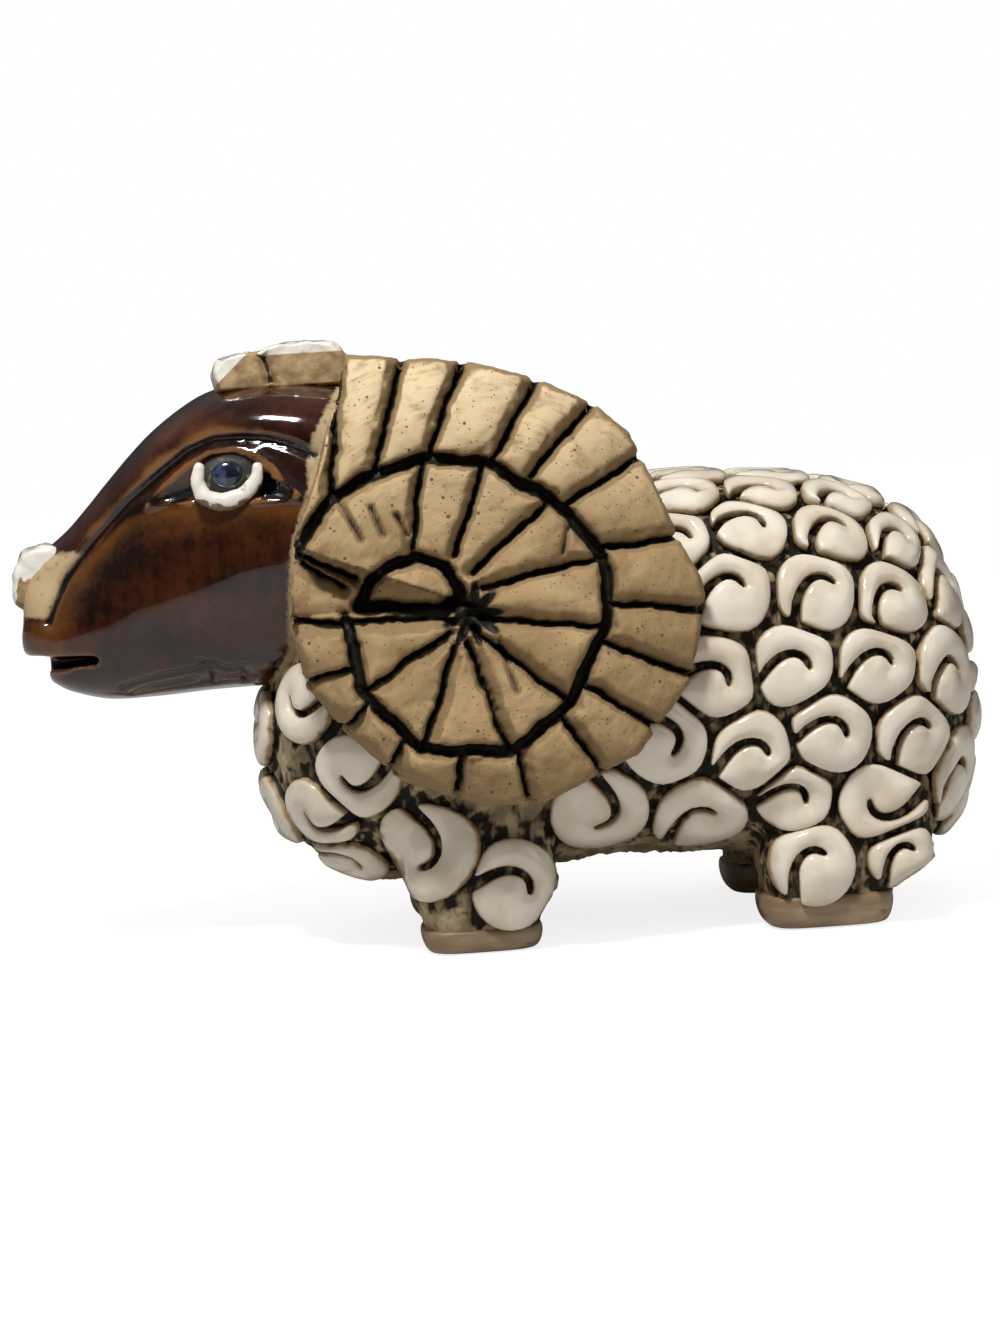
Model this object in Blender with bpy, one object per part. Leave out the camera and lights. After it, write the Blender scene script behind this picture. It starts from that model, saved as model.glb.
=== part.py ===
"""Ceramic ram figurine, cast as one piece and carved by hand. Metres, +Z up.

The ram faces -X and its flanks face -Y and +Y. It stands on Z = 0, with its plane of
symmetry at Y = 0. What is carved on the -Y side is repeated as a mirror image on the other.
"""
import math

import bmesh
import bpy
from mathutils import Vector
from mathutils.bvhtree import BVHTree

# The trunk, without its curls: from the chest at TRUNK_FRONT to the rump
TRUNK_FRONT = -0.0313
TRUNK_LENGTH = 0.0922
TRUNK_WIDTH = 0.0520
TRUNK_HEIGHT = 0.0577
TRUNK_SIDES = 14

# The four stubby legs and their hooves
LEG_SPREAD = 0.0324
LEG_HEIGHT = 0.0260
LEG_SIDES = 8
HOOF_WIDTH = 0.0150
HOOF_LEDGE = 0.0005
FRONT_LEG_X = -0.0056
FRONT_HOOF_LENGTH = 0.0156
FRONT_HOOF_HEIGHT = 0.0030
FRONT_LEG_LEAN = 0.0009
FRONT_LEG_SWELL = 0.0026
HIND_LEG_X = 0.0390
HIND_HOOF_LENGTH = 0.0172
HIND_HOOF_HEIGHT = 0.0042
HIND_LEG_LEAN = 0.0036
HIND_LEG_SWELL = 0.0040

# The head, from the tip of the muzzle to the neck between the horns
MUZZLE_X = -0.0622
HEAD_LENGTH = 0.0822
JAW_Z = 0.0334
HEAD_HEIGHT = 0.0417
HEAD_WIDTH = 0.0400
MOUTH_DEPTH = 0.0105
MOUTH_HEIGHT = 0.0024
MOUTH_RISE = 0.0006
MOUTH_STEP = 0.0030

# The eye, set in an almond hollow under the brow, its level as a share of the head's height
EYE_X = -0.0339
EYE_LEVEL = 0.657
EYE_LENGTH = 0.0086
EYE_HEIGHT = 0.0066
EYE_BULGE = 0.0017
EYE_HOLLOW_LENGTH = 0.0180
EYE_HOLLOW_HEIGHT = 0.0046
EYE_HOLLOW_DEPTH = 0.0016
PUPIL_RADIUS = 0.0017
PUPIL_BULGE = 0.0005

# Clay laid on the muzzle and on the crown
NOSE_PATCH_WIDTH = 0.0104
NOSE_PATCH_THICKNESS = 0.0009
NOSE_PATCH_LENGTH = 0.0078
NOSE_PATCH_HEIGHT = 0.0093
NOSE_PATCH_LEVEL = 0.290
TOPKNOT_START = 0.0270
TOPKNOT_LENGTH = 0.0180
TOPKNOT_WIDTH = 0.0190
TOPKNOT_HEIGHT = 0.0034

# The horns: two coils, each lying on the side of the neck and leaning in at the top
HORN_X = -0.0043
HORN_Z = 0.0443
HORN_RADIUS = 0.0277
HORN_SPAN = 0.0690
HORN_LEAN = math.radians(6.0)
HORN_DEPTH = 0.0190
HORN_RELIEF = 0.0032
HORN_STEP = 0.0012
HORN_GROOVE = 0.0011
HORN_DRAFT = 0.0007
HORN_CHAMFER = 0.0012
HORN_DOME = 0.0011
HORN_TURN_ROOT = 0.0010

# The fleece: comma-shaped curls that stand on the trunk
CURL_RADIUS = 0.0053
CURL_RELIEF = 0.0021
CURL_ROOT = 0.0010
CURL_DRAFT = 0.0005
CURL_GAP = 0.0008

# Trunk sections as shares: along, bottom, top, half width, and how square the section is
TRUNK_SECTIONS = (
    (0.000, 0.36, 0.53, 0.28, 2.0),
    (0.025, 0.26, 0.68, 0.58, 2.1),
    (0.070, 0.185, 0.84, 0.79, 2.2),
    (0.140, 0.135, 0.95, 0.92, 2.3),
    (0.270, 0.12, 0.99, 0.99, 2.5),
    (0.460, 0.16, 1.00, 1.00, 2.7),
    (0.640, 0.15, 1.00, 1.00, 2.7),
    (0.790, 0.11, 0.98, 0.97, 2.6),
    (0.880, 0.11, 0.935, 0.89, 2.4),
    (0.935, 0.13, 0.875, 0.77, 2.3),
    (0.975, 0.20, 0.77, 0.58, 2.1),
    (1.000, 0.32, 0.64, 0.30, 2.0),
)

# Head sections: along, then as shares of the head's height the jaw, cheek, crease and crown,
# then as shares of its half width the jaw, cheek, crease and brow
HEAD_SECTIONS = (
    (0.000, 0.27, 0.31, 0.36, 0.42, 0.14, 0.22, 0.20, 0.16),
    (0.012, 0.17, 0.26, 0.37, 0.46, 0.20, 0.33, 0.28, 0.24),
    (0.035, 0.11, 0.23, 0.39, 0.49, 0.24, 0.40, 0.33, 0.30),
    (0.075, 0.03, 0.20, 0.36, 0.545, 0.27, 0.48, 0.38, 0.36),
    (0.125, 0.00, 0.20, 0.46, 0.655, 0.31, 0.57, 0.43, 0.45),
    (0.180, 0.00, 0.22, 0.60, 0.775, 0.36, 0.66, 0.52, 0.56),
    (0.235, 0.00, 0.25, 0.70, 0.875, 0.41, 0.74, 0.60, 0.66),
    (0.295, 0.01, 0.28, 0.765, 0.955, 0.46, 0.82, 0.67, 0.75),
    (0.355, 0.01, 0.31, 0.785, 0.985, 0.50, 0.88, 0.74, 0.82),
    (0.420, 0.015, 0.34, 0.775, 0.995, 0.54, 0.93, 0.82, 0.88),
    (0.500, 0.02, 0.36, 0.745, 0.985, 0.58, 0.97, 0.90, 0.92),
    (0.620, 0.10, 0.38, 0.68, 0.935, 0.60, 0.98, 0.94, 0.88),
    (0.780, 0.15, 0.36, 0.60, 0.790, 0.60, 0.92, 0.92, 0.78),
    (1.000, 0.22, 0.34, 0.46, 0.560, 0.50, 0.70, 0.70, 0.52),
)

# The clay on the muzzle, seen from the side, as shares of its length and height
NOSE_PATCH_OUTLINE = (
    (0.385, 0.000), (0.000, 0.160), (0.000, 0.590), (0.180, 0.915),
    (0.515, 1.000), (0.820, 0.915), (1.000, 0.720), (0.640, 0.160),
)

# The topknot, seen from the side, as shares of its length and height above the crown
TOPKNOT_OUTLINE = (
    (0.000, -0.65), (0.017, 0.50), (0.222, 0.76), (0.333, 0.88), (0.367, 0.38),
    (0.406, 0.97), (0.533, 1.06), (0.833, 0.97), (1.000, 0.56), (1.033, -1.18),
)

# The horn's rim, as turns of angle in degrees and shares of the horn's radius
COIL_OUTER_RIM = (
    (114, 1.19), (100, 1.09), (86, 1.045), (70, 1.01), (45, 1.0), (0, 1.0), (-22, 0.985),
    (-46, 0.94), (-75, 0.89), (-92, 0.855), (-118, 0.81), (-139, 0.78), (-160, 0.815),
    (-180, 0.82), (-198, 0.85),
)
HORN_ROOT_RIM = ((150, 0.86), (137, 0.91), (126, 1.02))
COIL_INNER_RIM = (
    (162, 0.86), (135, 0.76), (110, 0.69), (84, 0.63), (52, 0.555), (42, 0.55), (18, 0.58),
    (0, 0.565), (-13, 0.56), (-50, 0.58), (-82, 0.65), (-116, 0.67), (-148, 0.64),
    (-178, 0.59),
)

# Each groove of the coil: its angle at the rim, its angle at its inner end, and the radius
# of that end as a share of the horn's radius
OUTER_GROOVES = (
    (114, 138, 0.885), (102, 124, 0.78), (89, 105, 0.735), (71, 83, 0.71), (56, 66, 0.68),
    (38, 46, 0.65), (14, 22, 0.62), (-5, -2, 0.61), (-22, -20, 0.61), (-38, -40, 0.63),
    (-57, -57, 0.67), (-79, -79, 0.685), (-100, -101, 0.675), (-122, -124, 0.695),
    (-142, -143, 0.69), (-160, -158, 0.665), (-179, -177, 0.63), (-197, -192, 0.60),
)
INNER_GROOVES = (
    (160, 163, 0.56), (107, 135, 0.39), (84, 111, 0.25), (52, 98, 0.15), (18, 80, 0.085),
    (-13, -80, 0.06), (-50, -108, 0.15), (-82, -112, 0.23), (-116, -126, 0.29),
    (-148, -143, 0.25), (-178, -165, 0.20),
)
HORN_TIP = (
    (177, 0.53), (163, 0.475), (150, 0.40), (138, 0.34), (129, 0.235), (150, 0.13), (-172, 0.21),
)

# Curls on one flank as shares: along the trunk, out from its middle and up its height,
# then the radius as a share of CURL_RADIUS and the turn in degrees
FLANK_CURLS = (
    (0.60, 0.60, 0.99, 0.92, 0), (0.71, 0.58, 0.99, 0.95, 0), (0.825, 0.56, 0.97, 0.95, 0),
    (0.905, 0.69, 0.87, 0.90, 10), (0.68, 0.86, 0.92, 1.0, -5), (0.80, 0.85, 0.90, 1.0, 20),
    (0.575, 0.92, 0.90, 0.92, 10), (0.638, 1.00, 0.77, 1.0, 20), (0.765, 1.00, 0.762, 1.03, 35),
    (0.87, 0.92, 0.73, 1.0, 40), (0.965, 0.56, 0.74, 1.08, 15), (0.61, 1.00, 0.575, 1.0, -10),
    (0.72, 1.00, 0.59, 1.0, 5), (0.84, 1.00, 0.58, 1.03, 10), (0.94, 0.74, 0.545, 1.05, 25),
    (0.658, 1.00, 0.405, 1.0, 10), (0.768, 1.00, 0.44, 1.0, 0), (0.89, 0.88, 0.42, 1.03, 35),
    (0.838, 0.92, 0.27, 1.0, 180), (0.715, 0.96, 0.29, 0.85, -10), (0.585, 0.88, 0.255, 1.03, 40),
    (0.54, 1.00, 0.45, 1.03, -50), (0.45, 1.00, 0.245, 1.10, -90), (0.735, 0.94, 0.155, 0.95, 45),
    (0.86, 0.90, 0.155, 0.78, 40), (0.965, 0.62, 0.31, 1.08, 30),
    (0.20, 0.92, 0.235, 1.05, -90), (0.325, 0.92, 0.15, 0.98, -20),
    (0.06, 0.69, 0.57, 0.88, 180), (0.12, 0.85, 0.41, 0.95, 190), (0.05, 0.69, 0.30, 0.92, 160),
    (0.09, 0.58, 0.175, 0.85, -40),
)

# Curls on the back, rump, chest and belly, in the same shares, those at Y = 0 not repeated
MIDDLE_CURLS = (
    (0.50, 0.20, 1.05, 0.92, 0), (0.62, 0.22, 1.00, 0.92, 10), (0.74, 0.20, 1.00, 0.92, -10),
    (0.86, 0.22, 0.97, 0.90, 10), (0.955, 0.23, 0.86, 1.0, 0),
    (1.00, 0.24, 0.66, 1.15, 20), (1.00, 0.24, 0.46, 1.15, -15), (0.985, 0.24, 0.26, 1.12, 30),
    (0.00, 0.22, 0.50, 0.85, 0), (0.00, 0.22, 0.31, 0.85, 20),
)


def remove_everything():
    """Starts from an empty scene."""
    for thing in list(bpy.data.objects):
        bpy.data.objects.remove(thing, do_unlink=True)


def finish_colour(name, colour, roughness, coat=0.0):
    """One finish of the clay or its glaze."""
    material = bpy.data.materials.new(name)
    material.use_nodes = True
    shader = material.node_tree.nodes["Principled BSDF"]
    shader.inputs["Base Color"].default_value = (*colour, 1.0)
    shader.inputs["Roughness"].default_value = roughness
    shader.inputs["Metallic"].default_value = 0.0
    shader.inputs["Coat Weight"].default_value = coat
    return material


def add_object(name, bm, material):
    """Turns a bmesh into a named object with smooth faces and sharp carved edges."""
    bmesh.ops.recalc_face_normals(bm, faces=bm.faces)
    mesh = bpy.data.meshes.new(name)
    bm.to_mesh(mesh)
    bm.free()
    mesh.shade_smooth()
    mesh.set_sharp_from_angle(angle=math.radians(40.0))
    mesh.materials.append(material)
    made = bpy.data.objects.new(name, mesh)
    bpy.context.scene.collection.objects.link(made)
    return made


def add_loft(bm, sections):
    """A closed skin over a row of sections that have as many points each."""
    rings = [[bm.verts.new(point) for point in section] for section in sections]
    for first, second in zip(rings, rings[1:]):
        for i in range(len(first)):
            bm.faces.new((first[i - 1], first[i], second[i], second[i - 1]))
    bm.faces.new(rings[0])
    bm.faces.new(reversed(rings[-1]))


def split_caps(bm):
    """Divides the faces that have many corners into triangles."""
    bm.normal_update()
    bmesh.ops.triangulate(bm, faces=[face for face in bm.faces if len(face.verts) > 4])


def lofted(name, sections, material):
    """An object made of one loft."""
    bm = bmesh.new()
    add_loft(bm, sections)
    return add_object(name, bm, material)


def superellipse(centre_a, centre_b, half_a, half_b, square, count):
    """Points round a rounded rectangle, from an ellipse at 2 to squarer above it."""
    points = []
    for step in range(count):
        angle = 2.0 * math.pi * (step + 0.5) / count
        along_a = math.copysign(abs(math.cos(angle)) ** (2.0 / square), math.cos(angle))
        along_b = math.copysign(abs(math.sin(angle)) ** (2.0 / square), math.sin(angle))
        points.append((centre_a + half_a * along_a, centre_b + half_b * along_b))
    return points


def mirrored(points):
    """The same points on the other side of the plane of symmetry."""
    return [Vector((point.x, -point.y, point.z)) for point in points]


def trunk(material):
    """The barrel of the body, without curls."""
    sections = []
    for along, bottom, top, half_width, square in TRUNK_SECTIONS:
        x = TRUNK_FRONT + along * TRUNK_LENGTH
        middle = (bottom + top) / 2.0 * TRUNK_HEIGHT
        half_height = (top - bottom) / 2.0 * TRUNK_HEIGHT
        outline = superellipse(
            0.0, middle, half_width * TRUNK_WIDTH / 2.0, half_height, square, TRUNK_SIDES
        )
        sections.append([Vector((x, y, z)) for y, z in outline])
    return lofted("trunk", sections, material)


def leg(name, x, hoof_length, hoof_height, lean, swell, side, material):
    """A hoof with rounded lower corners and the stubby leg above it."""
    half_length = hoof_length / 2.0
    half_width = HOOF_WIDTH / 2.0
    y = side * LEG_SPREAD / 2.0
    leg_length = half_length - HOOF_LEDGE
    leg_width = half_width - HOOF_LEDGE
    levels = (
        (0.0, 0.0, half_length * 0.84, half_width * 0.86),
        (0.30 * hoof_height, 0.0, half_length * 0.95, half_width * 0.96),
        (0.75 * hoof_height, 0.0, half_length, half_width),
        (hoof_height, 0.0, half_length, half_width),
        (hoof_height + HOOF_LEDGE, 0.1 * lean, leg_length, leg_width),
        (0.30 * LEG_HEIGHT, 0.8 * lean, leg_length + 0.8 * swell, leg_width + 0.2 * swell),
        (LEG_HEIGHT, lean, leg_length + 0.6 * swell, 0.8 * leg_width),
    )
    sections = []
    for z, shift, across, deep in levels:
        outline = superellipse(x + shift, y, across, deep, 4.0, LEG_SIDES)
        sections.append([Vector((a, b, z)) for a, b in outline])
    return lofted(name, sections, material)


def head(material):
    """The wedge of the head, whose brow overhangs a carved crease on each side."""
    sections = []
    for along, jaw_z, cheek_z, crease_z, crown_z, jaw, cheek, crease, brow in HEAD_SECTIONS:
        x = MUZZLE_X + along * HEAD_LENGTH
        heights = [JAW_Z + share * HEAD_HEIGHT for share in (jaw_z, cheek_z, crease_z, crown_z)]
        widths = [share * HEAD_WIDTH / 2.0 for share in (jaw, cheek, crease, brow)]
        rise = heights[3] - heights[2]
        fall = heights[2] - heights[1]
        half = [
            (0.0, heights[0]),
            (widths[0], heights[0] + 0.06 * fall),
            (widths[1] * 0.92, heights[1] - 0.30 * (heights[1] - heights[0])),
            (widths[1], heights[1] + 0.15 * fall),
            ((widths[1] + widths[2]) / 2.0 + 0.05 * widths[1], heights[1] + 0.62 * fall),
            (widths[2], heights[2]),
            (widths[3], heights[2] + 0.16 * rise),
            (widths[3] * 0.93, heights[2] + 0.55 * rise),
            (widths[3] * 0.60, heights[2] + 0.88 * rise),
            (0.0, heights[3]),
        ]
        other = [(-y, z) for y, z in reversed(half[1:-1])]
        sections.append([Vector((x, y, z)) for y, z in half + other])
    return lofted("head", sections, material)


def prism(name, outline, half_width, taper, material):
    """A side outline drawn through the plane of symmetry, a little narrower at its faces."""
    middle_x = sum(x for x, z in outline) / len(outline)
    middle_z = sum(z for x, z in outline) / len(outline)
    sections = []
    for share, scale in ((-1.0, 1.0 - taper), (-0.82, 1.0), (0.82, 1.0), (1.0, 1.0 - taper)):
        sections.append([
            Vector((
                middle_x + (x - middle_x) * scale,
                share * half_width,
                middle_z + (z - middle_z) * scale,
            ))
            for x, z in outline
        ])
    return lofted(name, sections, material)


def nose_patch(material):
    """Clay laid on the end of the muzzle."""
    start = MUZZLE_X - NOSE_PATCH_THICKNESS
    bottom = JAW_Z + NOSE_PATCH_LEVEL * HEAD_HEIGHT
    outline = [
        (start + along * NOSE_PATCH_LENGTH, bottom + up * NOSE_PATCH_HEIGHT)
        for along, up in NOSE_PATCH_OUTLINE
    ]
    return prism("nose_patch", outline, NOSE_PATCH_WIDTH / 2.0, 0.16, material)


def topknot(material):
    """The low block of clay on the crown, with a notch across it."""
    crown = JAW_Z + HEAD_HEIGHT
    outline = [
        (MUZZLE_X + TOPKNOT_START + along * TOPKNOT_LENGTH, crown + up * TOPKNOT_HEIGHT)
        for along, up in TOPKNOT_OUTLINE
    ]
    return prism("topknot", outline, TOPKNOT_WIDTH / 2.0, 0.12, material)


def mouth_cutter(material):
    """The wedge cut across the end of the muzzle."""
    corner_x = MUZZLE_X + MOUTH_DEPTH
    front_x = MUZZLE_X - 2.0 * NOSE_PATCH_THICKNESS
    lip_z = JAW_Z + 0.165 * HEAD_HEIGHT
    outline = (
        (corner_x, lip_z + MOUTH_RISE), (front_x, lip_z), (front_x, lip_z - MOUTH_HEIGHT),
        (corner_x - MOUTH_STEP, lip_z - 0.45 * MOUTH_HEIGHT),
    )
    return prism("mouth_cutter", outline, HEAD_WIDTH / 2.0, 0.0, material)


def ellipsoid(name, centre, halves, fineness, material):
    """A rounded lump or hollow."""
    bm = bmesh.new()
    bmesh.ops.create_icosphere(bm, subdivisions=fineness, radius=1.0)
    bmesh.ops.scale(bm, vec=halves, verts=bm.verts)
    bmesh.ops.translate(bm, vec=centre, verts=bm.verts)
    return add_object(name, bm, material)


def smooth_normal(surface, point, reach):
    """The surface's direction near a point, averaged over a small patch."""
    total = Vector()
    for offset in ((0, 0, 0), (1, 0, 0), (-1, 0, 0), (0, 1, 0), (0, -1, 0), (0, 0, 1), (0, 0, -1)):
        nearby, normal, index, distance = surface.find_nearest(point + Vector(offset) * reach)
        total += normal
    return total.normalized()


def curl_outline(radius, turn):
    """A comma: a band that sweeps clockwise from its tail into a fat lobe round a slit."""
    rim = [math.radians(angle) for angle in (188, 142, 96, 50, 5, -42, -90, -142)]
    points = [Vector((math.cos(angle), math.sin(angle))) for angle in rim]
    slit = ((-0.40, -0.08), (0.05, 0.13), (0.27, -0.14), (0.36, 0.24), (-0.25, 0.42))
    points += [Vector(place) for place in slit]
    cos_turn = math.cos(math.radians(turn))
    sin_turn = math.sin(math.radians(turn))
    return [
        Vector((point.x * cos_turn - point.y * sin_turn, point.x * sin_turn + point.y * cos_turn))
        * radius
        for point in points
    ]


def drawn_in(outline, amount):
    """A clockwise outline with each corner moved inwards."""
    moved = []
    for i, point in enumerate(outline):
        before = (point - outline[i - 1]).normalized()
        after = (outline[(i + 1) % len(outline)] - point).normalized()
        inward = Vector((before.y + after.y, -before.x - after.x))
        moved.append(point + inward.normalized() * amount)
    return moved


def seat_curls(surface):
    """Where each curl sits: its middle, the surface's direction there, radius, turn and side."""
    seats = []
    for along, out, up, size, turn in FLANK_CURLS + MIDDLE_CURLS:
        guess = Vector((
            TRUNK_FRONT + along * TRUNK_LENGTH, -out * TRUNK_WIDTH / 2.0, up * TRUNK_HEIGHT
        ))
        seat = surface.find_nearest(guess)[0]
        radius = size * CURL_RADIUS
        normal = smooth_normal(surface, seat, 0.5 * radius)
        for side in (1.0, -1.0):
            flip = Vector((1.0, side, 1.0))
            seats.append((seat * flip, normal * flip, radius, turn, side))
    return seats


def make_room(way, seat, radius, seats):
    """Draws a point of a curl back to where its neighbours leave room for it."""
    for other, normal, other_radius, turn, side in seats:
        apart = other - seat
        distance = apart.length
        if distance < 1e-6 or distance > 3.0 * CURL_RADIUS:
            continue
        share = radius / (radius + other_radius)
        limit = distance * share - CURL_GAP / 2.0
        reach = way.dot(apart) / distance
        if reach > limit:
            way = way * (limit / reach)
    return way


def add_curl(bm, surface, seats, index):
    """A curl that stands on the surface and gives way to its neighbours."""
    seat, normal, radius, turn, side = seats[index]
    up = Vector((0.0, 0.0, 1.0)) - normal * normal.z
    if up.length < 0.2:
        up = Vector((0.0, side, 0.0)) - normal * normal.y * side
    up.normalize()
    right = up.cross(normal) * side
    base = curl_outline(radius, turn)
    rings = []
    for outline, height in ((base, -CURL_ROOT), (drawn_in(base, CURL_DRAFT), CURL_RELIEF)):
        ring = []
        for flat in outline:
            way = make_room(right * flat.x + up * flat.y, seat, radius, seats)
            start = seat + way + normal * radius
            hit = surface.ray_cast(start, -normal, 1.7 * radius)[0]
            if hit is None:
                hit = surface.find_nearest(seat + way)[0]
            ring.append(hit + normal * height)
        rings.append(ring)
    add_loft(bm, rings)


def fleece(surface, material):
    """All the curls, on both flanks and along the middle."""
    bm = bmesh.new()
    seats = seat_curls(surface)
    for index in range(len(seats)):
        add_curl(bm, surface, seats, index)
    split_caps(bm)
    return add_object("fleece", bm, material)


def rim_share(rim, angle):
    """The rim's radius at an angle, as a share of the horn's radius."""
    turns = (angle, angle - 360.0, angle + 360.0)
    low = min(point[0] for point in rim)
    high = max(point[0] for point in rim)
    angle = next((turn for turn in turns if low <= turn <= high), angle)
    for (angle_a, share_a), (angle_b, share_b) in zip(rim, rim[1:]):
        if angle_b <= angle <= angle_a:
            blend = (angle_a - angle) / (angle_a - angle_b)
            return share_a + (share_b - share_a) * blend
    return rim[0][1] if angle > high else rim[-1][1]


def polar(angle, share):
    """A point of the horn's face, from an angle in degrees and a share of its radius."""
    radius = share * HORN_RADIUS
    return Vector((radius * math.cos(math.radians(angle)), radius * math.sin(math.radians(angle))))


def horn_point(flat, depth):
    """A point of the horn on the -Y side, depth behind the middle of its outer face."""
    y = -HORN_SPAN / 2.0 + depth
    z = flat.y
    return Vector((
        HORN_X + flat.x,
        y * math.cos(HORN_LEAN) + z * math.sin(HORN_LEAN),
        HORN_Z + z * math.cos(HORN_LEAN) + (y + HORN_SPAN / 2.0) * -math.sin(HORN_LEAN),
    ))


def part_way(start, end, distance):
    """A point moved towards another, at most a third of the way."""
    gap = (end - start).length
    return start.lerp(end, min(distance / gap, 0.34))


def block_outline(groove_a, groove_b, rim, inset_a, inset_b, inset_ends):
    """The outline between two grooves, drawn in from each groove and from its two ends."""
    rim_a, angle_a, share_a = groove_a
    rim_b, angle_b, share_b = groove_b
    start = rim_a - math.degrees(inset_a / (rim_share(rim, rim_a) * HORN_RADIUS))
    end = rim_b + math.degrees(inset_b / (rim_share(rim, rim_b) * HORN_RADIUS))
    steps = 3 if rim_a - rim_b > 24 else 2
    outline = []
    for step in range(steps + 1):
        angle = start + (end - start) * step / steps
        outline.append(polar(angle, rim_share(rim, angle) - inset_ends / HORN_RADIUS))
    inner_a = polar(angle_a, share_a)
    inner_b = polar(angle_b, share_b)
    outline.append(part_way(part_way(inner_b, inner_a, inset_b), outline[-1], inset_ends))
    outline.append(part_way(part_way(inner_a, inner_b, inset_a), outline[0], inset_ends))
    return outline


def add_block(bm, foot, face, root_depth, dome, flip):
    """One carved block of the horn: its face is smaller than its foot and gently domed."""
    reach = max(point.length for point in face)
    rings = (
        [horn_point(point, root_depth) for point in foot],
        [horn_point(point, dome * (point.length / reach) ** 2) for point in face],
    )
    if flip:
        rings = [mirrored(ring) for ring in rings]
    add_loft(bm, rings)


def add_coil(bm, grooves, rim, root_depth, dome, flip):
    """The blocks between neighbouring grooves of one turn, chamfered on the tip's side."""
    half_groove = HORN_GROOVE / 2.0
    inset_a = half_groove + HORN_DRAFT
    inset_b = half_groove + HORN_CHAMFER
    for groove_a, groove_b in zip(grooves, grooves[1:]):
        foot = block_outline(groove_a, groove_b, rim, half_groove, half_groove, 0.0)
        face = block_outline(groove_a, groove_b, rim, inset_a, inset_b, HORN_DRAFT)
        add_block(bm, foot, face, root_depth, dome, flip)


def horn_body(name, flip, margin, material):
    """A plain horn whose side stands out from the carved rim by the margin."""
    rim = [
        polar(angle, share + margin / HORN_RADIUS) for angle, share in COIL_OUTER_RIM + HORN_ROOT_RIM
    ]
    sections = [
        [horn_point(point, depth) for point in rim] for depth in (HORN_RELIEF, HORN_DEPTH)
    ]
    if flip:
        sections = [mirrored(section) for section in sections]
    return lofted(name, sections, material)


def horn_blocks(material):
    """The carved blocks of both horns."""
    bm = bmesh.new()
    outer_root = HORN_DEPTH * 0.9
    inner_root = HORN_RELIEF + HORN_TURN_ROOT
    for flip in (False, True):
        add_coil(bm, OUTER_GROOVES, COIL_OUTER_RIM, outer_root, HORN_DOME, flip)
        add_coil(bm, INNER_GROOVES, COIL_INNER_RIM, inner_root, -0.4 * HORN_DOME, flip)
        foot = [polar(angle, share) for angle, share in HORN_TIP]
        middle = sum(foot, Vector((0.0, 0.0))) / len(foot)
        face = [part_way(point, middle, HORN_DRAFT) for point in foot]
        add_block(bm, foot, face, inner_root, -0.4 * HORN_DOME, flip)
    split_caps(bm)
    return add_object("horn_blocks", bm, material)


def combine(base, other, operation, solver="EXACT"):
    """Adds or cuts one form, which then stays hidden as a guide."""
    step = base.modifiers.new(operation.lower() + "_" + other.name, "BOOLEAN")
    step.operation = operation
    step.solver = solver
    step.object = other
    step.material_mode = "TRANSFER"
    other.hide_render = True
    other.display_type = "WIRE"


def surface_of(thing):
    """The evaluated surface that curls are seated on."""
    bpy.context.view_layer.update()
    return BVHTree.FromObject(thing, bpy.context.evaluated_depsgraph_get())


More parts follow.
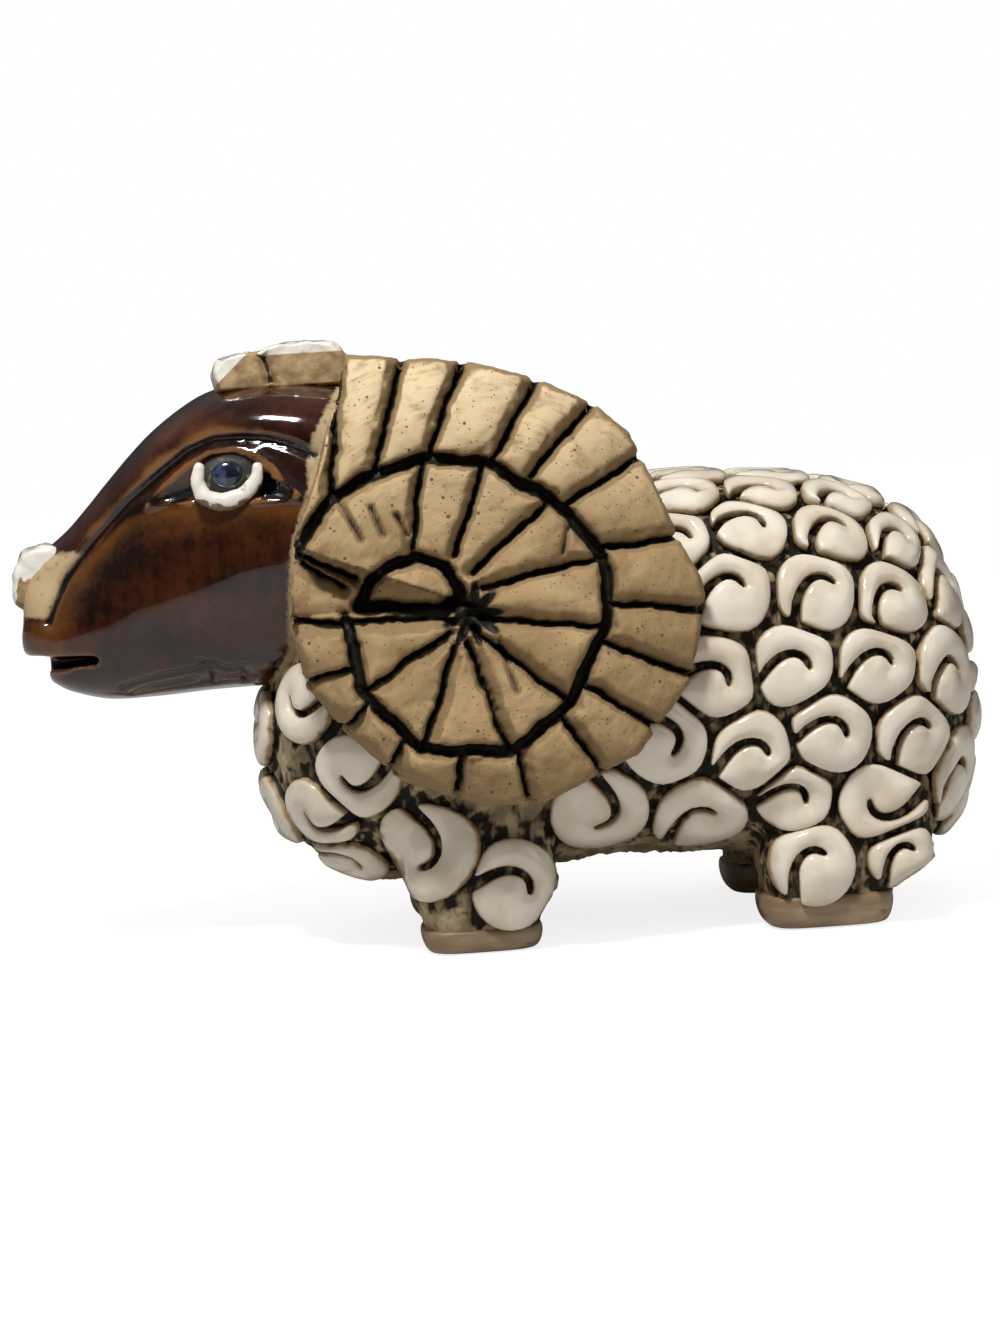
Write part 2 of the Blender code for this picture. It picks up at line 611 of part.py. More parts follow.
def build():
    remove_everything()
    clay = finish_colour("washed_clay", (0.16, 0.12, 0.08), 0.85)
    bare = finish_colour("bare_clay", (0.52, 0.37, 0.21), 0.75)
    white = finish_colour("white_glaze", (0.74, 0.70, 0.64), 0.15, 0.5)
    brown = finish_colour("brown_glaze", (0.075, 0.018, 0.006), 0.12, 0.6)
    blue = finish_colour("pupil_glaze", (0.01, 0.02, 0.05), 0.10, 0.6)

    ram = trunk(clay)
    ram.name = "ram_figurine"
    for side, label in ((-1.0, "near"), (1.0, "far")):
        front = leg(
            "front_leg_" + label, FRONT_LEG_X, FRONT_HOOF_LENGTH, FRONT_HOOF_HEIGHT,
            FRONT_LEG_LEAN, FRONT_LEG_SWELL, side, bare,
        )
        hind = leg(
            "hind_leg_" + label, HIND_LEG_X, HIND_HOOF_LENGTH, HIND_HOOF_HEIGHT,
            HIND_LEG_LEAN, HIND_LEG_SWELL, side, bare,
        )
        combine(ram, front, "UNION")
        combine(ram, hind, "UNION")
    curls = fleece(surface_of(ram), white)
    combine(ram, head(brown), "UNION")
    combine(ram, mouth_cutter(clay), "DIFFERENCE")
    head_surface = surface_of(ram)
    for side, label in ((-1.0, "near"), (1.0, "far")):
        seat, normal, index, distance = head_surface.ray_cast(
            Vector((EYE_X, side * HEAD_WIDTH, JAW_Z + EYE_LEVEL * HEAD_HEIGHT)),
            Vector((0.0, -side, 0.0)),
        )
        hollow = ellipsoid(
            "eye_hollow_" + label, seat,
            (EYE_HOLLOW_LENGTH / 2.0, EYE_HOLLOW_DEPTH, EYE_HOLLOW_HEIGHT / 2.0), 2, clay,
        )
        ball = ellipsoid(
            "eye_" + label, seat, (EYE_LENGTH / 2.0, EYE_BULGE, EYE_HEIGHT / 2.0), 2, white
        )
        pupil = ellipsoid(
            "pupil_" + label, seat + Vector((0.0, side * EYE_BULGE, 0.25 * EYE_HEIGHT)),
            (PUPIL_RADIUS, PUPIL_BULGE, PUPIL_RADIUS), 1, blue,
        )
        combine(ram, hollow, "DIFFERENCE")
        combine(ram, ball, "UNION")
        combine(ram, pupil, "UNION")
    combine(ram, nose_patch(bare), "UNION")
    combine(ram, topknot(bare), "UNION")
    for flip, label in ((False, "near"), (True, "far")):
        combine(ram, horn_body("horn_" + label, flip, -HORN_STEP, bare), "UNION")
        combine(curls, horn_body("horn_clearance_" + label, flip, CURL_GAP, bare), "DIFFERENCE", "MANIFOLD")
    combine(ram, curls, "UNION", "MANIFOLD")
    combine(ram, horn_blocks(bare), "UNION", "MANIFOLD")


build()
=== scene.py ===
"""The looks of the ceramic ram: glazed curls, carved horns and a glossy brown head, in metres."""
import math
import random

import bmesh
import bpy
import numpy as np
from mathutils import Matrix, Vector, noise
from mathutils.bvhtree import BVHTree
from mathutils.geometry import intersect_line_line_2d
from mathutils.kdtree import KDTree


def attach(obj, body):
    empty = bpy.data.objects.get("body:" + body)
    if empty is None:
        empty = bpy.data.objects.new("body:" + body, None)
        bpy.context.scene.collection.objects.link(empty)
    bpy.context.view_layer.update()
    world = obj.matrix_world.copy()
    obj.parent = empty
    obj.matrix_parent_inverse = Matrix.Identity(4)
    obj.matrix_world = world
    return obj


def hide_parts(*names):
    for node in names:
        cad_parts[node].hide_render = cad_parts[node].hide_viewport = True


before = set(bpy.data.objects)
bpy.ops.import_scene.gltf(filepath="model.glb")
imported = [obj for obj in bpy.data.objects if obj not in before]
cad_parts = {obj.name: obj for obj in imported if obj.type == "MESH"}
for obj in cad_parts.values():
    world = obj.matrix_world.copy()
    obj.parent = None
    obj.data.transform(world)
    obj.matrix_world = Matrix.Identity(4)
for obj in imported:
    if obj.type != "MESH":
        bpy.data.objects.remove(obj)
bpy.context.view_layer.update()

MM = 0.001

# The camera stands at the ram's left side, a little above it and a little towards its head,
# and is rolled so that the ram stands slightly uphill, as in the photograph.
CAMERA_AZIMUTH = math.radians(-4.0)
CAMERA_ELEVATION = math.radians(4.0)
CAMERA_ROLL = math.radians(3.5)
CAMERA_DISTANCE = 0.4
CAMERA_TARGET = Vector((0.0, 0.0, 0.0346))
CAMERA_LENS = 81.0

back = Vector((
    math.sin(CAMERA_AZIMUTH) * math.cos(CAMERA_ELEVATION),
    -math.cos(CAMERA_AZIMUTH) * math.cos(CAMERA_ELEVATION),
    math.sin(CAMERA_ELEVATION),
))
level = (-back).cross(Vector((0.0, 0.0, 1.0))).normalized()
upright = level.cross(-back)
across = level * math.cos(CAMERA_ROLL) - upright * math.sin(CAMERA_ROLL)
upwards = upright * math.cos(CAMERA_ROLL) + level * math.sin(CAMERA_ROLL)
lens = bpy.data.cameras.new("camera")
lens.lens = CAMERA_LENS
lens.clip_start = 0.01
camera = bpy.data.objects.new("camera", lens)
turned = Matrix((across, upwards, back)).transposed().to_4x4()
camera.matrix_world = Matrix.Translation(CAMERA_TARGET + back * CAMERA_DISTANCE) @ turned
bpy.context.scene.collection.objects.link(camera)
bpy.context.scene.camera = camera

# The body and legs under the curls are rough clay, gouged with a loop tool and rubbed with a
# black wash that stays in every hollow. Body and legs are modelled over each other and then
# worked into one skin.
TRUNK_FRONT = -31.3 * MM
TRUNK_LENGTH = 92.2 * MM
TRUNK_WIDTH = 52.0 * MM
TRUNK_HEIGHT = 57.7 * MM
TRUNK_SIDES = 28
TRUNK_SECTIONS = (
    (0.0, 0.36, 0.53, 0.28, 2.0), (0.025, 0.26, 0.68, 0.58, 2.1), (0.07, 0.185, 0.84, 0.79, 2.2),
    (0.14, 0.135, 0.95, 0.92, 2.3), (0.27, 0.12, 0.99, 0.99, 2.5), (0.46, 0.16, 1.0, 1.0, 2.7),
    (0.64, 0.15, 1.0, 1.0, 2.7), (0.79, 0.11, 0.98, 0.97, 2.6), (0.88, 0.11, 0.935, 0.89, 2.4),
    (0.935, 0.13, 0.875, 0.77, 2.3), (0.975, 0.2, 0.77, 0.58, 2.1), (1.0, 0.32, 0.64, 0.3, 2.0),
)
LEG_SPREAD = 32.4 * MM
LEG_HEIGHT = 26.0 * MM
LEG_SIDES = 24
LEG_SQUARE = 4.0
HOOF_WIDTH = 15.0 * MM
HOOF_LEDGE = 0.5 * MM
# Each leg: its middle, the hoof's length and height, how far it leans back and how far it swells
LEGS = (
    (-5.6 * MM, 15.6 * MM, 3.0 * MM, 0.9 * MM, 2.6 * MM),
    (39.0 * MM, 17.2 * MM, 4.2 * MM, 3.6 * MM, 4.0 * MM),
)
CLAY_GRAIN = 0.6 * MM
GOUGE_SIZE = 1.8 * MM
GOUGE_DEPTH = 0.42 * MM


def superellipse(centre_a, centre_b, half_a, half_b, square, count):
    """Points round a rounded rectangle, from an ellipse at 2 to squarer above it."""
    points = []
    for step in range(count):
        angle = 2.0 * math.pi * (step + 0.5) / count
        along_a = math.copysign(abs(math.cos(angle)) ** (2.0 / square), math.cos(angle))
        along_b = math.copysign(abs(math.sin(angle)) ** (2.0 / square), math.sin(angle))
        points.append((centre_a + half_a * along_a, centre_b + half_b * along_b))
    return points


def skin(bm, rings):
    """Draws one closed skin over a row of rings by extruding the first through the others."""
    verts = [bm.verts.new(point) for point in rings[0]]
    edges = [bm.edges.new((verts[i - 1], verts[i])) for i in range(len(verts))]
    ends = [verts]
    for ring in rings[1:]:
        made = bmesh.ops.extrude_edge_only(bm, edges=edges)["geom"]
        edges = [item for item in made if isinstance(item, bmesh.types.BMEdge)]
        near = {tuple(vert.co): vert for vert in made if isinstance(vert, bmesh.types.BMVert)}
        moved = [near[tuple(vert.co)] for vert in verts]
        for vert, point in zip(moved, ring):
            vert.co = point
        verts = moved
    ends.append(verts)
    for end in ends:
        bm.faces.new(end)
    bmesh.ops.recalc_face_normals(bm, faces=bm.faces)


def shaped(name, bm):
    """Makes a smooth-shaded piece from a bmesh."""
    mesh = bpy.data.meshes.new(name)
    bm.to_mesh(mesh)
    bm.free()
    mesh.shade_smooth()
    piece = bpy.data.objects.new(name, mesh)
    bpy.context.scene.collection.objects.link(piece)
    return piece


def settled(piece):
    """Works the piece's modifiers into its mesh."""
    bpy.context.view_layer.update()
    graph = bpy.context.evaluated_depsgraph_get()
    mesh = bpy.data.meshes.new_from_object(piece.evaluated_get(graph))
    piece.modifiers.clear()
    piece.data = mesh
    mesh.shade_smooth()
    return piece


def softened(piece, levels):
    """Rounds a piece by dividing its faces."""
    step = piece.modifiers.new("softer", "SUBSURF")
    step.levels = levels
    step.render_levels = levels
    return piece


def reworked(piece, grain, rounds):
    """Works overlapping forms into one even skin of clay, then smooths it."""
    step = piece.modifiers.new("one_skin", "REMESH")
    step.mode = "VOXEL"
    step.voxel_size = grain
    soften = piece.modifiers.new("soften", "SMOOTH")
    soften.iterations = rounds
    soften.factor = 0.5
    return settled(piece)


def places(mesh):
    """The mesh's points as an array."""
    found = np.empty(len(mesh.vertices) * 3, np.float32)
    mesh.vertices.foreach_get("co", found)
    return found.reshape(-1, 3).astype(float)


def directions(mesh):
    """The mesh's outward directions, point by point."""
    found = np.empty(len(mesh.vertices) * 3, np.float32)
    mesh.vertex_normals.foreach_get("vector", found)
    return found.reshape(-1, 3).astype(float)


def set_places(mesh, points):
    """Puts the mesh's points where an array says."""
    mesh.vertices.foreach_set("co", points.astype(np.float32).ravel())
    mesh.update()


def move_out(mesh, heights):
    """Moves each point along its outward direction."""
    set_places(mesh, places(mesh) + directions(mesh) * np.asarray(heights)[:, None])


def unit(values):
    """The values, held between 0 and 1."""
    return np.clip(values, 0.0, 1.0)


def hollow(mesh, rounds):
    """How deep each point lies in a hollow, or below zero how far it stands out, in mm."""
    count = len(mesh.vertices)
    ends = np.empty(len(mesh.edges) * 2, np.int32)
    mesh.edges.foreach_get("vertices", ends)
    ends = ends.reshape(-1, 2)
    links = np.bincount(ends.ravel(), minlength=count)[:, None]
    start = places(mesh)
    eased = start.copy()
    for _ in range(rounds):
        total = np.empty_like(eased)
        for axis in range(3):
            total[:, axis] = np.bincount(ends[:, 0], eased[ends[:, 1], axis], count)
            total[:, axis] += np.bincount(ends[:, 1], eased[ends[:, 0], axis], count)
        eased = 0.5 * eased + 0.5 * total / np.maximum(links, 1)
    return ((eased - start) * directions(mesh)).sum(axis=1) / MM


def keep(mesh, name, values):
    """Keeps a number for each point, which a material reads by its name."""
    layer = mesh.attributes.new(name, "FLOAT", "POINT")
    layer.data.foreach_set("value", np.asarray(values, np.float32))


def lumps(mesh, size, octaves):
    """Uneven heights between about -1 and 1, as broad as the size."""
    return np.array([
        noise.fractal(Vector(point) / size, 1.0, 2.0, octaves) for point in places(mesh)
    ])


def tree_of(piece):
    """The piece's surface, for finding places on it."""
    mesh = piece.data
    faces = [face.vertices for face in mesh.polygons]
    return BVHTree.FromPolygons([vert.co for vert in mesh.vertices], faces)


def trunk_rings():
    """The sections of the body, from chest to rump."""
    rings = []
    for along, bottom, top, half_width, square in TRUNK_SECTIONS:
        outline = superellipse(
            0.0, (bottom + top) / 2.0 * TRUNK_HEIGHT, half_width * TRUNK_WIDTH / 2.0,
            (top - bottom) / 2.0 * TRUNK_HEIGHT, square, TRUNK_SIDES,
        )
        rings.append([(TRUNK_FRONT + along * TRUNK_LENGTH, y, z) for y, z in outline])
    return rings


def stacked(x, side, levels):
    """Rounded rectangles up a leg, from each level's height, shift and half sizes."""
    return [
        [(a, b, z) for a, b in superellipse(
            x + shift, side * LEG_SPREAD / 2.0, half_x, half_y, LEG_SQUARE, LEG_SIDES
        )] for z, shift, half_x, half_y in levels
    ]


def leg_rings(x, hoof_length, hoof_height, lean, swell, side):
    """The sections of a leg, from inside the hoof's top up into the body."""
    half_length = hoof_length / 2.0 - HOOF_LEDGE
    half_width = HOOF_WIDTH / 2.0 - HOOF_LEDGE
    return stacked(x, side, (
        (0.5 * hoof_height, 0.0, half_length, half_width),
        (hoof_height + HOOF_LEDGE, 0.1 * lean, half_length, half_width),
        (0.3 * LEG_HEIGHT, 0.8 * lean, half_length + 0.8 * swell, half_width + 0.2 * swell),
        (LEG_HEIGHT, lean, half_length + 0.6 * swell, 0.8 * half_width),
    ))


bm = bmesh.new()
skin(bm, trunk_rings())
for x, hoof_length, hoof_height, lean, swell in LEGS:
    for side in (-1.0, 1.0):
        skin(bm, leg_rings(x, hoof_length, hoof_height, lean, swell, side))
body_clay = reworked(shaped("body_clay", bm), CLAY_GRAIN, 3)
body_surface = tree_of(body_clay)


class Wire:
    """A shader socket that joins in sums, each of which adds its Math node."""

    def __init__(self, socket):
        self.socket = socket
        self.tree = socket.id_data

    def node(self, kind, settings, sockets, output=0):
        """Any other node: its settings are set first, then its sockets' values or links."""
        return add_node(self.tree, kind, settings, sockets, output)

    def math(self, operation, *others):
        sockets = dict(enumerate((self,) + others))
        return self.node("ShaderNodeMath", {"operation": operation}, sockets)

    def __add__(self, other):
        return self.math("ADD", other)

    __radd__ = __add__

    def __mul__(self, other):
        return self.math("MULTIPLY", other)

    __rmul__ = __mul__

    def __sub__(self, other):
        return self.math("SUBTRACT", other)

    def __rsub__(self, other):
        return self.math("MULTIPLY", -1.0).math("ADD", other)

    def above(self, low, high):
        """Rises smoothly from 0 at the low value to 1 at the high one."""
        return self.node(
            "ShaderNodeMapRange", {"interpolation_type": "SMOOTHSTEP"},
            {"Value": self, "From Min": low, "From Max": high},
        )

    def mix(self, first, second):
        """The first colour where this is 0 and the second where it is 1."""
        return self.node(
            "ShaderNodeMix", {"data_type": "RGBA"}, {0: self, 6: first, 7: second}, 2
        )


def add_node(tree, kind, settings, sockets, output=0):
    """Adds a node with its settings and its sockets' values or links."""
    node = tree.nodes.new(kind)
    for name, value in settings.items():
        setattr(node, name, value)
    for name, value in sockets.items():
        if isinstance(value, Wire):
            tree.links.new(value.socket, node.inputs[name])
        else:
            node.inputs[name].default_value = value
    return Wire(node.outputs[output])


class Finish:
    """A clay or glaze in the making: a material with its own shader."""

    def __init__(self, name, **constants):
        self.material = bpy.data.materials.new(name)
        self.material.use_nodes = True
        self.tree = self.material.node_tree
        self.shader = self.tree.nodes["Principled BSDF"]
        for socket, value in constants.items():
            self.shader.inputs[socket.replace("_", " ")].default_value = value
        self.place = self.node("ShaderNodeTexCoord", {}, {}, "Object")

    def node(self, kind, settings, sockets, output=0):
        return add_node(self.tree, kind, settings, sockets, output)

    def attribute(self, name):
        """A number that the mesh keeps for each point."""
        return self.node("ShaderNodeAttribute", {"attribute_name": name}, {}, "Fac")

    def shifted(self, size, seed, stretch=(1.0, 1.0, 1.0)):
        """Places on the piece in steps of this size, shifted by the seed."""
        scale = tuple(1.0 / (size * share) for share in stretch)
        sockets = {"Vector": self.place, "Location": (seed, seed, seed), "Scale": scale}
        return self.node("ShaderNodeMapping", {}, sockets)

    def cloud(self, size, detail=4.0, stretch=(1.0, 1.0, 1.0), seed=0.0):
        """Soft random patches of about this size in metres."""
        sockets = {"Vector": self.shifted(size, seed, stretch), "Scale": 1.0, "Detail": detail}
        return self.node("ShaderNodeTexNoise", {}, sockets)

    def specks(self, size, seed=0.0):
        """The distance to scattered points, in shares of their spacing."""
        sockets = {"Vector": self.shifted(size, seed), "Scale": 1.0}
        return self.node("ShaderNodeTexVoronoi", {}, sockets, "Distance")

    def feed(self, **wires):
        """Links what changes over the surface to the shader."""
        for socket, wire in wires.items():
            self.tree.links.new(wire.socket, self.shader.inputs[socket.replace("_", " ")])

    def relief(self, height, strength, depth):
        """Fine relief that is too small to model."""
        bump = self.node(
            "ShaderNodeBump", {}, {"Height": height, "Strength": strength, "Distance": depth},
        )
        self.feed(Normal=bump)


def colour(red, green, blue):
    return (red, green, blue, 1.0)


def add_piece(piece, finish):
    """Gives a finished piece its material, and sets it in the frame in place of the solid."""
    piece.data.materials.clear()
    piece.data.materials.append(finish.material)
    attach(piece, "root")
    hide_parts("ram_figurine")


BLACK_WASH = colour(0.014, 0.012, 0.007)

washed_clay = Finish("washed_clay", Roughness=0.8, Specular_IOR_Level=0.15)
mottle = washed_clay.cloud(3.2 * MM, 6.0)
scratch = washed_clay.cloud(0.9 * MM, 5.0, (1.0, 1.0, 2.5), 3.0)
clay = mottle.above(0.35, 0.65).mix(colour(0.19, 0.145, 0.08), colour(0.45, 0.36, 0.22))
# The sunk attribute holds the black wash of the hollows and, next to the curls, painted shade of the narrow
# grooves.
sunk = washed_clay.attribute("sunk")
wash = (sunk + mottle * 0.45 + scratch * 0.75).above(0.62, 0.92)
washed_clay.feed(Base_Color=wash.mix(clay, BLACK_WASH), Roughness=0.85 - wash * 0.3)
washed_clay.relief(scratch + mottle * 0.5, 0.7, 0.5 * MM)

# The curls are combs of clay left standing between the cuts. Each is a comma: a band that
# sweeps clockwise from its tail into a fat lobe round a cut slit. They are dipped in thick
# white glaze that runs thin and tan along every edge.
CURL_RADIUS = 6.3 * MM
CURL_RELIEF = 2.1 * MM
CURL_ROOT = 0.7 * MM
CURL_GAP = 0.5 * MM
FLANK_CURLS = (
    (0.6, 0.6, 0.99, 0.92, 0), (0.71, 0.58, 0.99, 0.95, 0), (0.825, 0.56, 0.97, 0.95, 0),
    (0.905, 0.69, 0.87, 0.9, 10), (0.68, 0.86, 0.92, 1.0, -5), (0.8, 0.85, 0.9, 1.0, 20),
    (0.575, 0.92, 0.9, 0.92, 10), (0.638, 1.0, 0.77, 1.0, 20), (0.765, 1.0, 0.762, 1.03, 35),
    (0.87, 0.92, 0.73, 1.0, 40), (0.965, 0.56, 0.74, 1.08, 15), (0.61, 1.0, 0.575, 1.0, -10),
    (0.72, 1.0, 0.59, 1.0, 5), (0.84, 1.0, 0.58, 1.03, 10), (0.94, 0.74, 0.545, 1.05, 25),
    (0.658, 1.0, 0.405, 1.0, 10), (0.768, 1.0, 0.44, 1.0, 0), (0.89, 0.88, 0.42, 1.03, 35),
    (0.838, 0.92, 0.27, 1.0, 180), (0.715, 0.96, 0.29, 0.85, -10), (0.585, 0.88, 0.255, 1.03, 40),
    (0.54, 1.0, 0.45, 1.03, -50), (0.45, 1.0, 0.245, 1.1, -90), (0.735, 0.94, 0.155, 0.95, 45),
    (0.86, 0.9, 0.155, 0.78, 40), (0.965, 0.62, 0.31, 1.08, 30),
    (0.2, 0.92, 0.235, 1.05, -90), (0.325, 0.92, 0.15, 0.98, -20),
    (0.06, 0.69, 0.57, 0.88, 180), (0.12, 0.85, 0.41, 0.95, 190), (0.05, 0.69, 0.3, 0.92, 160),
    (0.09, 0.58, 0.175, 0.85, -40),
)
MIDDLE_CURLS = (
    (0.5, 0.2, 1.05, 0.92, 0), (0.62, 0.22, 1.0, 0.92, 10), (0.74, 0.2, 1.0, 0.92, -10),
    (0.86, 0.22, 0.97, 0.9, 10), (0.955, 0.23, 0.86, 1.0, 0),
    (1.0, 0.24, 0.66, 1.15, 20), (1.0, 0.24, 0.46, 1.15, -15), (0.985, 0.24, 0.26, 1.12, 30),
    (0.0, 0.22, 0.5, 0.85, 0), (0.0, 0.22, 0.31, 0.85, 20),
)
# The comma in shares of its radius: its rim in degrees, then the middle of the cut slit
RIM_ANGLES = (177, 162, 144, 121, 97, 73, 50, 27, 5, -19, -42, -66, -90, -115, -138, -158)
SLIT = ((-0.86, -0.22), (-0.58, 0.06), (-0.27, 0.25), (0.04, 0.29), (0.26, 0.14), (0.31, -0.12))
SLIT_HALF = (0.11, 0.085, 0.07, 0.065, 0.06, 0.05)


def comma():
    """The comma's corners: round the rim, then down one side of the slit and back up the other."""
    turns = [math.radians(turn) for turn in RIM_ANGLES]
    corners = [Vector((math.cos(turn), math.sin(turn))) for turn in turns]
    line = [Vector(point) for point in SLIT]
    across = []
    for before, after, half in zip(line[:1] + line, line[1:] + line[-1:], SLIT_HALF):
        run = (after - before).normalized()
        across.append(Vector((-run.y, run.x)) * half)
    corners += [point - side for point, side in zip(line, across)]
    return corners + [point + side for point, side in reversed(list(zip(line, across)))]


COMMA = comma()
# How the curl rises from its foot: steps inwards and upwards, as shares of the relief
CURL_EDGE = ((0.05, 0.38), (0.05, 0.24), (0.08, 0.14))
CURL_CROWN = 0.26
CROWN_EDGE = 1.5 * MM
# How uneven the carving hand is: in turn, in the rim's swell and tremble, and in relief
HAND_TURN = 5.0
HAND_SWELL = 0.035
HAND_TREMBLE = 0.012
HAND_RELIEF = (0.94, 1.08)


def average_direction(surface, point, reach):
    """The surface's direction near a point, averaged over a small patch."""
    total = Vector()
    for offset in ((0, 0, 0), (1, 0, 0), (-1, 0, 0), (0, 1, 0), (0, -1, 0), (0, 0, 1), (0, 0, -1)):
        total += surface.find_nearest(point + Vector(offset) * reach)[1]
    return total.normalized()


def curl_seats(curls, surface):
    """Where each curl sits: middle, direction, radius, turn, and which side it is on."""
    seats = []
    for along, out, up, size, turn in curls:
        guess = Vector((
            TRUNK_FRONT + along * TRUNK_LENGTH, -out * TRUNK_WIDTH / 2.0, up * TRUNK_HEIGHT
        ))
        seat = surface.find_nearest(guess)[0]
        normal = average_direction(surface, seat, 0.5 * size * CURL_RADIUS)
        for side in (1.0, -1.0):
            flip = Vector((1.0, side, 1.0))
            seats.append((seat * flip, normal * flip, size * CURL_RADIUS, turn, side))
    return seats


def given_way(way, seat, radius, seats):
    """Draws a point of a curl back to where its neighbours leave room for it."""
    for other, _, other_radius, _, _ in seats:
        apart = other - seat
        if 1e-6 < apart.length < 3.0 * CURL_RADIUS:
            limit = apart.length * radius / (radius + other_radius) - CURL_GAP / 2.0
            reach = way.dot(apart) / apart.length
            if reach > limit:
                way = way * (limit / reach)
    return way


def half_room(outline, index, inward):
    """Half the way across the comma from one of its points, along the inward direction."""
    start = outline[index]
    best = CURL_RADIUS
    count = len(outline)
    for i in range(count):
        if i in (index, (index - 1) % count):
            continue
        run = outline[(i + 1) % count] - outline[i]
        slope = inward.x * run.y - inward.y * run.x
        if abs(slope) < 1e-12:
            continue
        gap = outline[i] - start
        reach = (gap.x * run.y - gap.y * run.x) / slope
        share = (gap.x * inward.y - gap.y * inward.x) / slope
        if reach > 0.0 and -0.01 <= share <= 1.01:
            best = min(best, reach)
    return best / 2.0


def line_distance(points, line):
    """The distance from each flat point to a line of straight runs."""
    best = np.full(len(points), 1e9)
    for start, end in zip(line, line[1:]):
        start = np.array(start, float)
        run = np.array(end, float) - start
        share = unit(((points - start) @ run) / (run @ run))
        gap = points - start - share[:, None] * run
        best = np.minimum(best, np.hypot(gap[:, 0], gap[:, 1]))
    return best


def crosses_itself(outline):
    """Whether two sides of an outline cross."""
    count = len(outline)
    for i in range(count):
        start, end = outline[i - 1], outline[i]
        for j in range(i + 1, count - (i == 0)):
            if j > i + 1 and intersect_line_line_2d(start, end, outline[j - 1], outline[j]):
                return True
    return False


def curl_rings(outline, relief):
    """The outline at each step up the curl's side, drawn in less where the comma is narrow."""
    inwards = []
    for i, point in enumerate(outline):
        before = (point - outline[i - 1]).normalized()
        after = (outline[(i + 1) % len(outline)] - point).normalized()
        inwards.append(Vector((-before.y - after.y, before.x + after.x)).normalized())
    rooms = [half_room(outline, i, inwards[i]) for i in range(len(outline))]
    rings = [[(point, -CURL_ROOT) for point in outline]]
    inset = 0.0
    rise = 0.0
    share = 0.5
    for step_in, step_up in CURL_EDGE:
        inset += step_in * CURL_RELIEF
        rise += step_up * relief
        while True:
            ring = [
                point + inward * min(inset, share * room)
                for point, inward, room in zip(outline, inwards, rooms)
            ]
            if share < 0.02 or not crosses_itself(ring):
                break
            share *= 0.7
        rings.append([(point, rise) for point in ring])
    return rings


def add_curl(bm, surface, seat_row, seats, hand):
    """One curl, pressed to the surface, with the small unevenness of a carving hand."""
    seat, normal, radius, turn, side = seat_row
    up = Vector((0.0, 0.0, 1.0)) - normal * normal.z
    if up.length < 0.2:
        up = Vector((0.0, side, 0.0)) - normal * normal.y * side
    up.normalize()
    right = up.cross(normal) * side
    turned = Matrix.Rotation(math.radians(turn + hand.uniform(-HAND_TURN, HAND_TURN)), 2)
    wave = hand.uniform(0.0, 2.0 * math.pi)
    outline = []
    for corner in COMMA:
        angle = math.atan2(corner.y, corner.x)
        swell = 1.0 + HAND_SWELL * math.sin(3.0 * angle + wave)
        swell += hand.uniform(-HAND_TREMBLE, HAND_TREMBLE)
        flat = turned @ corner * radius * swell
        way = given_way(right * flat.x + up * flat.y, seat, radius, seats)
        outline.append(Vector((way.dot(right), way.dot(up))))
    outline.reverse()
    relief = CURL_RELIEF * hand.uniform(*HAND_RELIEF)
    rings = curl_rings(outline, relief)
    count = len(bm.verts)
    foot = bm.faces.new([bm.verts.new((point.x, point.y, height)) for point, height in rings[0]])
    foot.normal_update()
    made = bmesh.ops.extrude_face_region(bm, geom=[foot])["geom"]
    top = next(item for item in made if isinstance(item, bmesh.types.BMFace))
    before = rings[0]
    for ring in rings[1:]:
        if ring is not rings[1]:
            bmesh.ops.inset_region(bm, faces=[top], thickness=0.01 * MM)
        for vert in top.verts:
            gaps = [(vert.co.xy - point).length_squared for point, height in before]
            point, height = ring[gaps.index(min(gaps))]
            vert.co = (point.x, point.y, height)
        before = ring
        top.normal_update()
    rise = ring[0][1]
    across = bmesh.ops.triangulate(bm, faces=[top])["edges"]
    inner = bmesh.ops.subdivide_edges(bm, edges=across, cuts=3, use_grid_fill=True)["geom_inner"]
    crown = [item for item in inner if isinstance(item, bmesh.types.BMVert)]
    edge = [point for point, height in ring]
    swells = unit(line_distance(np.array([vert.co.xy for vert in crown]), edge + edge[:1]) / CROWN_EDGE)
    for vert, swell in zip(crown, swells):
        vert.co.z = rise + CURL_CROWN * relief * (1.0 - (1.0 - swell) ** 2.2)
    for _ in range(3):
        bmesh.ops.smooth_vert(
            bm, verts=crown, factor=0.5, use_axis_x=True, use_axis_y=True, use_axis_z=True,
        )
    bm.verts.ensure_lookup_table()
    for vert in bm.verts[count:]:
        on_skin = seat + right * vert.co.x + up * vert.co.y
        hit = surface.ray_cast(on_skin + normal * radius, -normal, 1.7 * radius)[0]
        if hit is None:
            hit = surface.find_nearest(on_skin)[0]
        vert.co = hit + normal * vert.co.z


white_glaze = Finish("white_glaze", Coat_Roughness=0.04)
rise = white_glaze.attribute("rise")
thin = white_glaze.cloud(1.6 * MM, 4.0)
stain = white_glaze.cloud(6.0 * MM, 3.0, seed=5.0)
covered = (rise + (thin - 0.5) * 0.45).above(0.44, 0.62)
# Low on each curl, in the groove at its foot, the glaze is painted black: partly black wash, partly painted
# shade of the groove.
blackened = (rise + (thin - 0.5) * 0.7).above(0.2, 0.44)
rim = blackened.mix(BLACK_WASH, colour(0.36, 0.24, 0.115))
milk = (stain * 1.3 - rise * 0.35).above(0.1, 0.7).mix(
    colour(0.79, 0.725, 0.605), colour(0.61, 0.52, 0.39)
)
white_glaze.feed(
    Base_Color=covered.mix(rim, milk), Roughness=0.6 - covered * 0.48, Coat_Weight=covered * 0.7,
)
white_glaze.relief(thin, 0.12, 0.2 * MM)

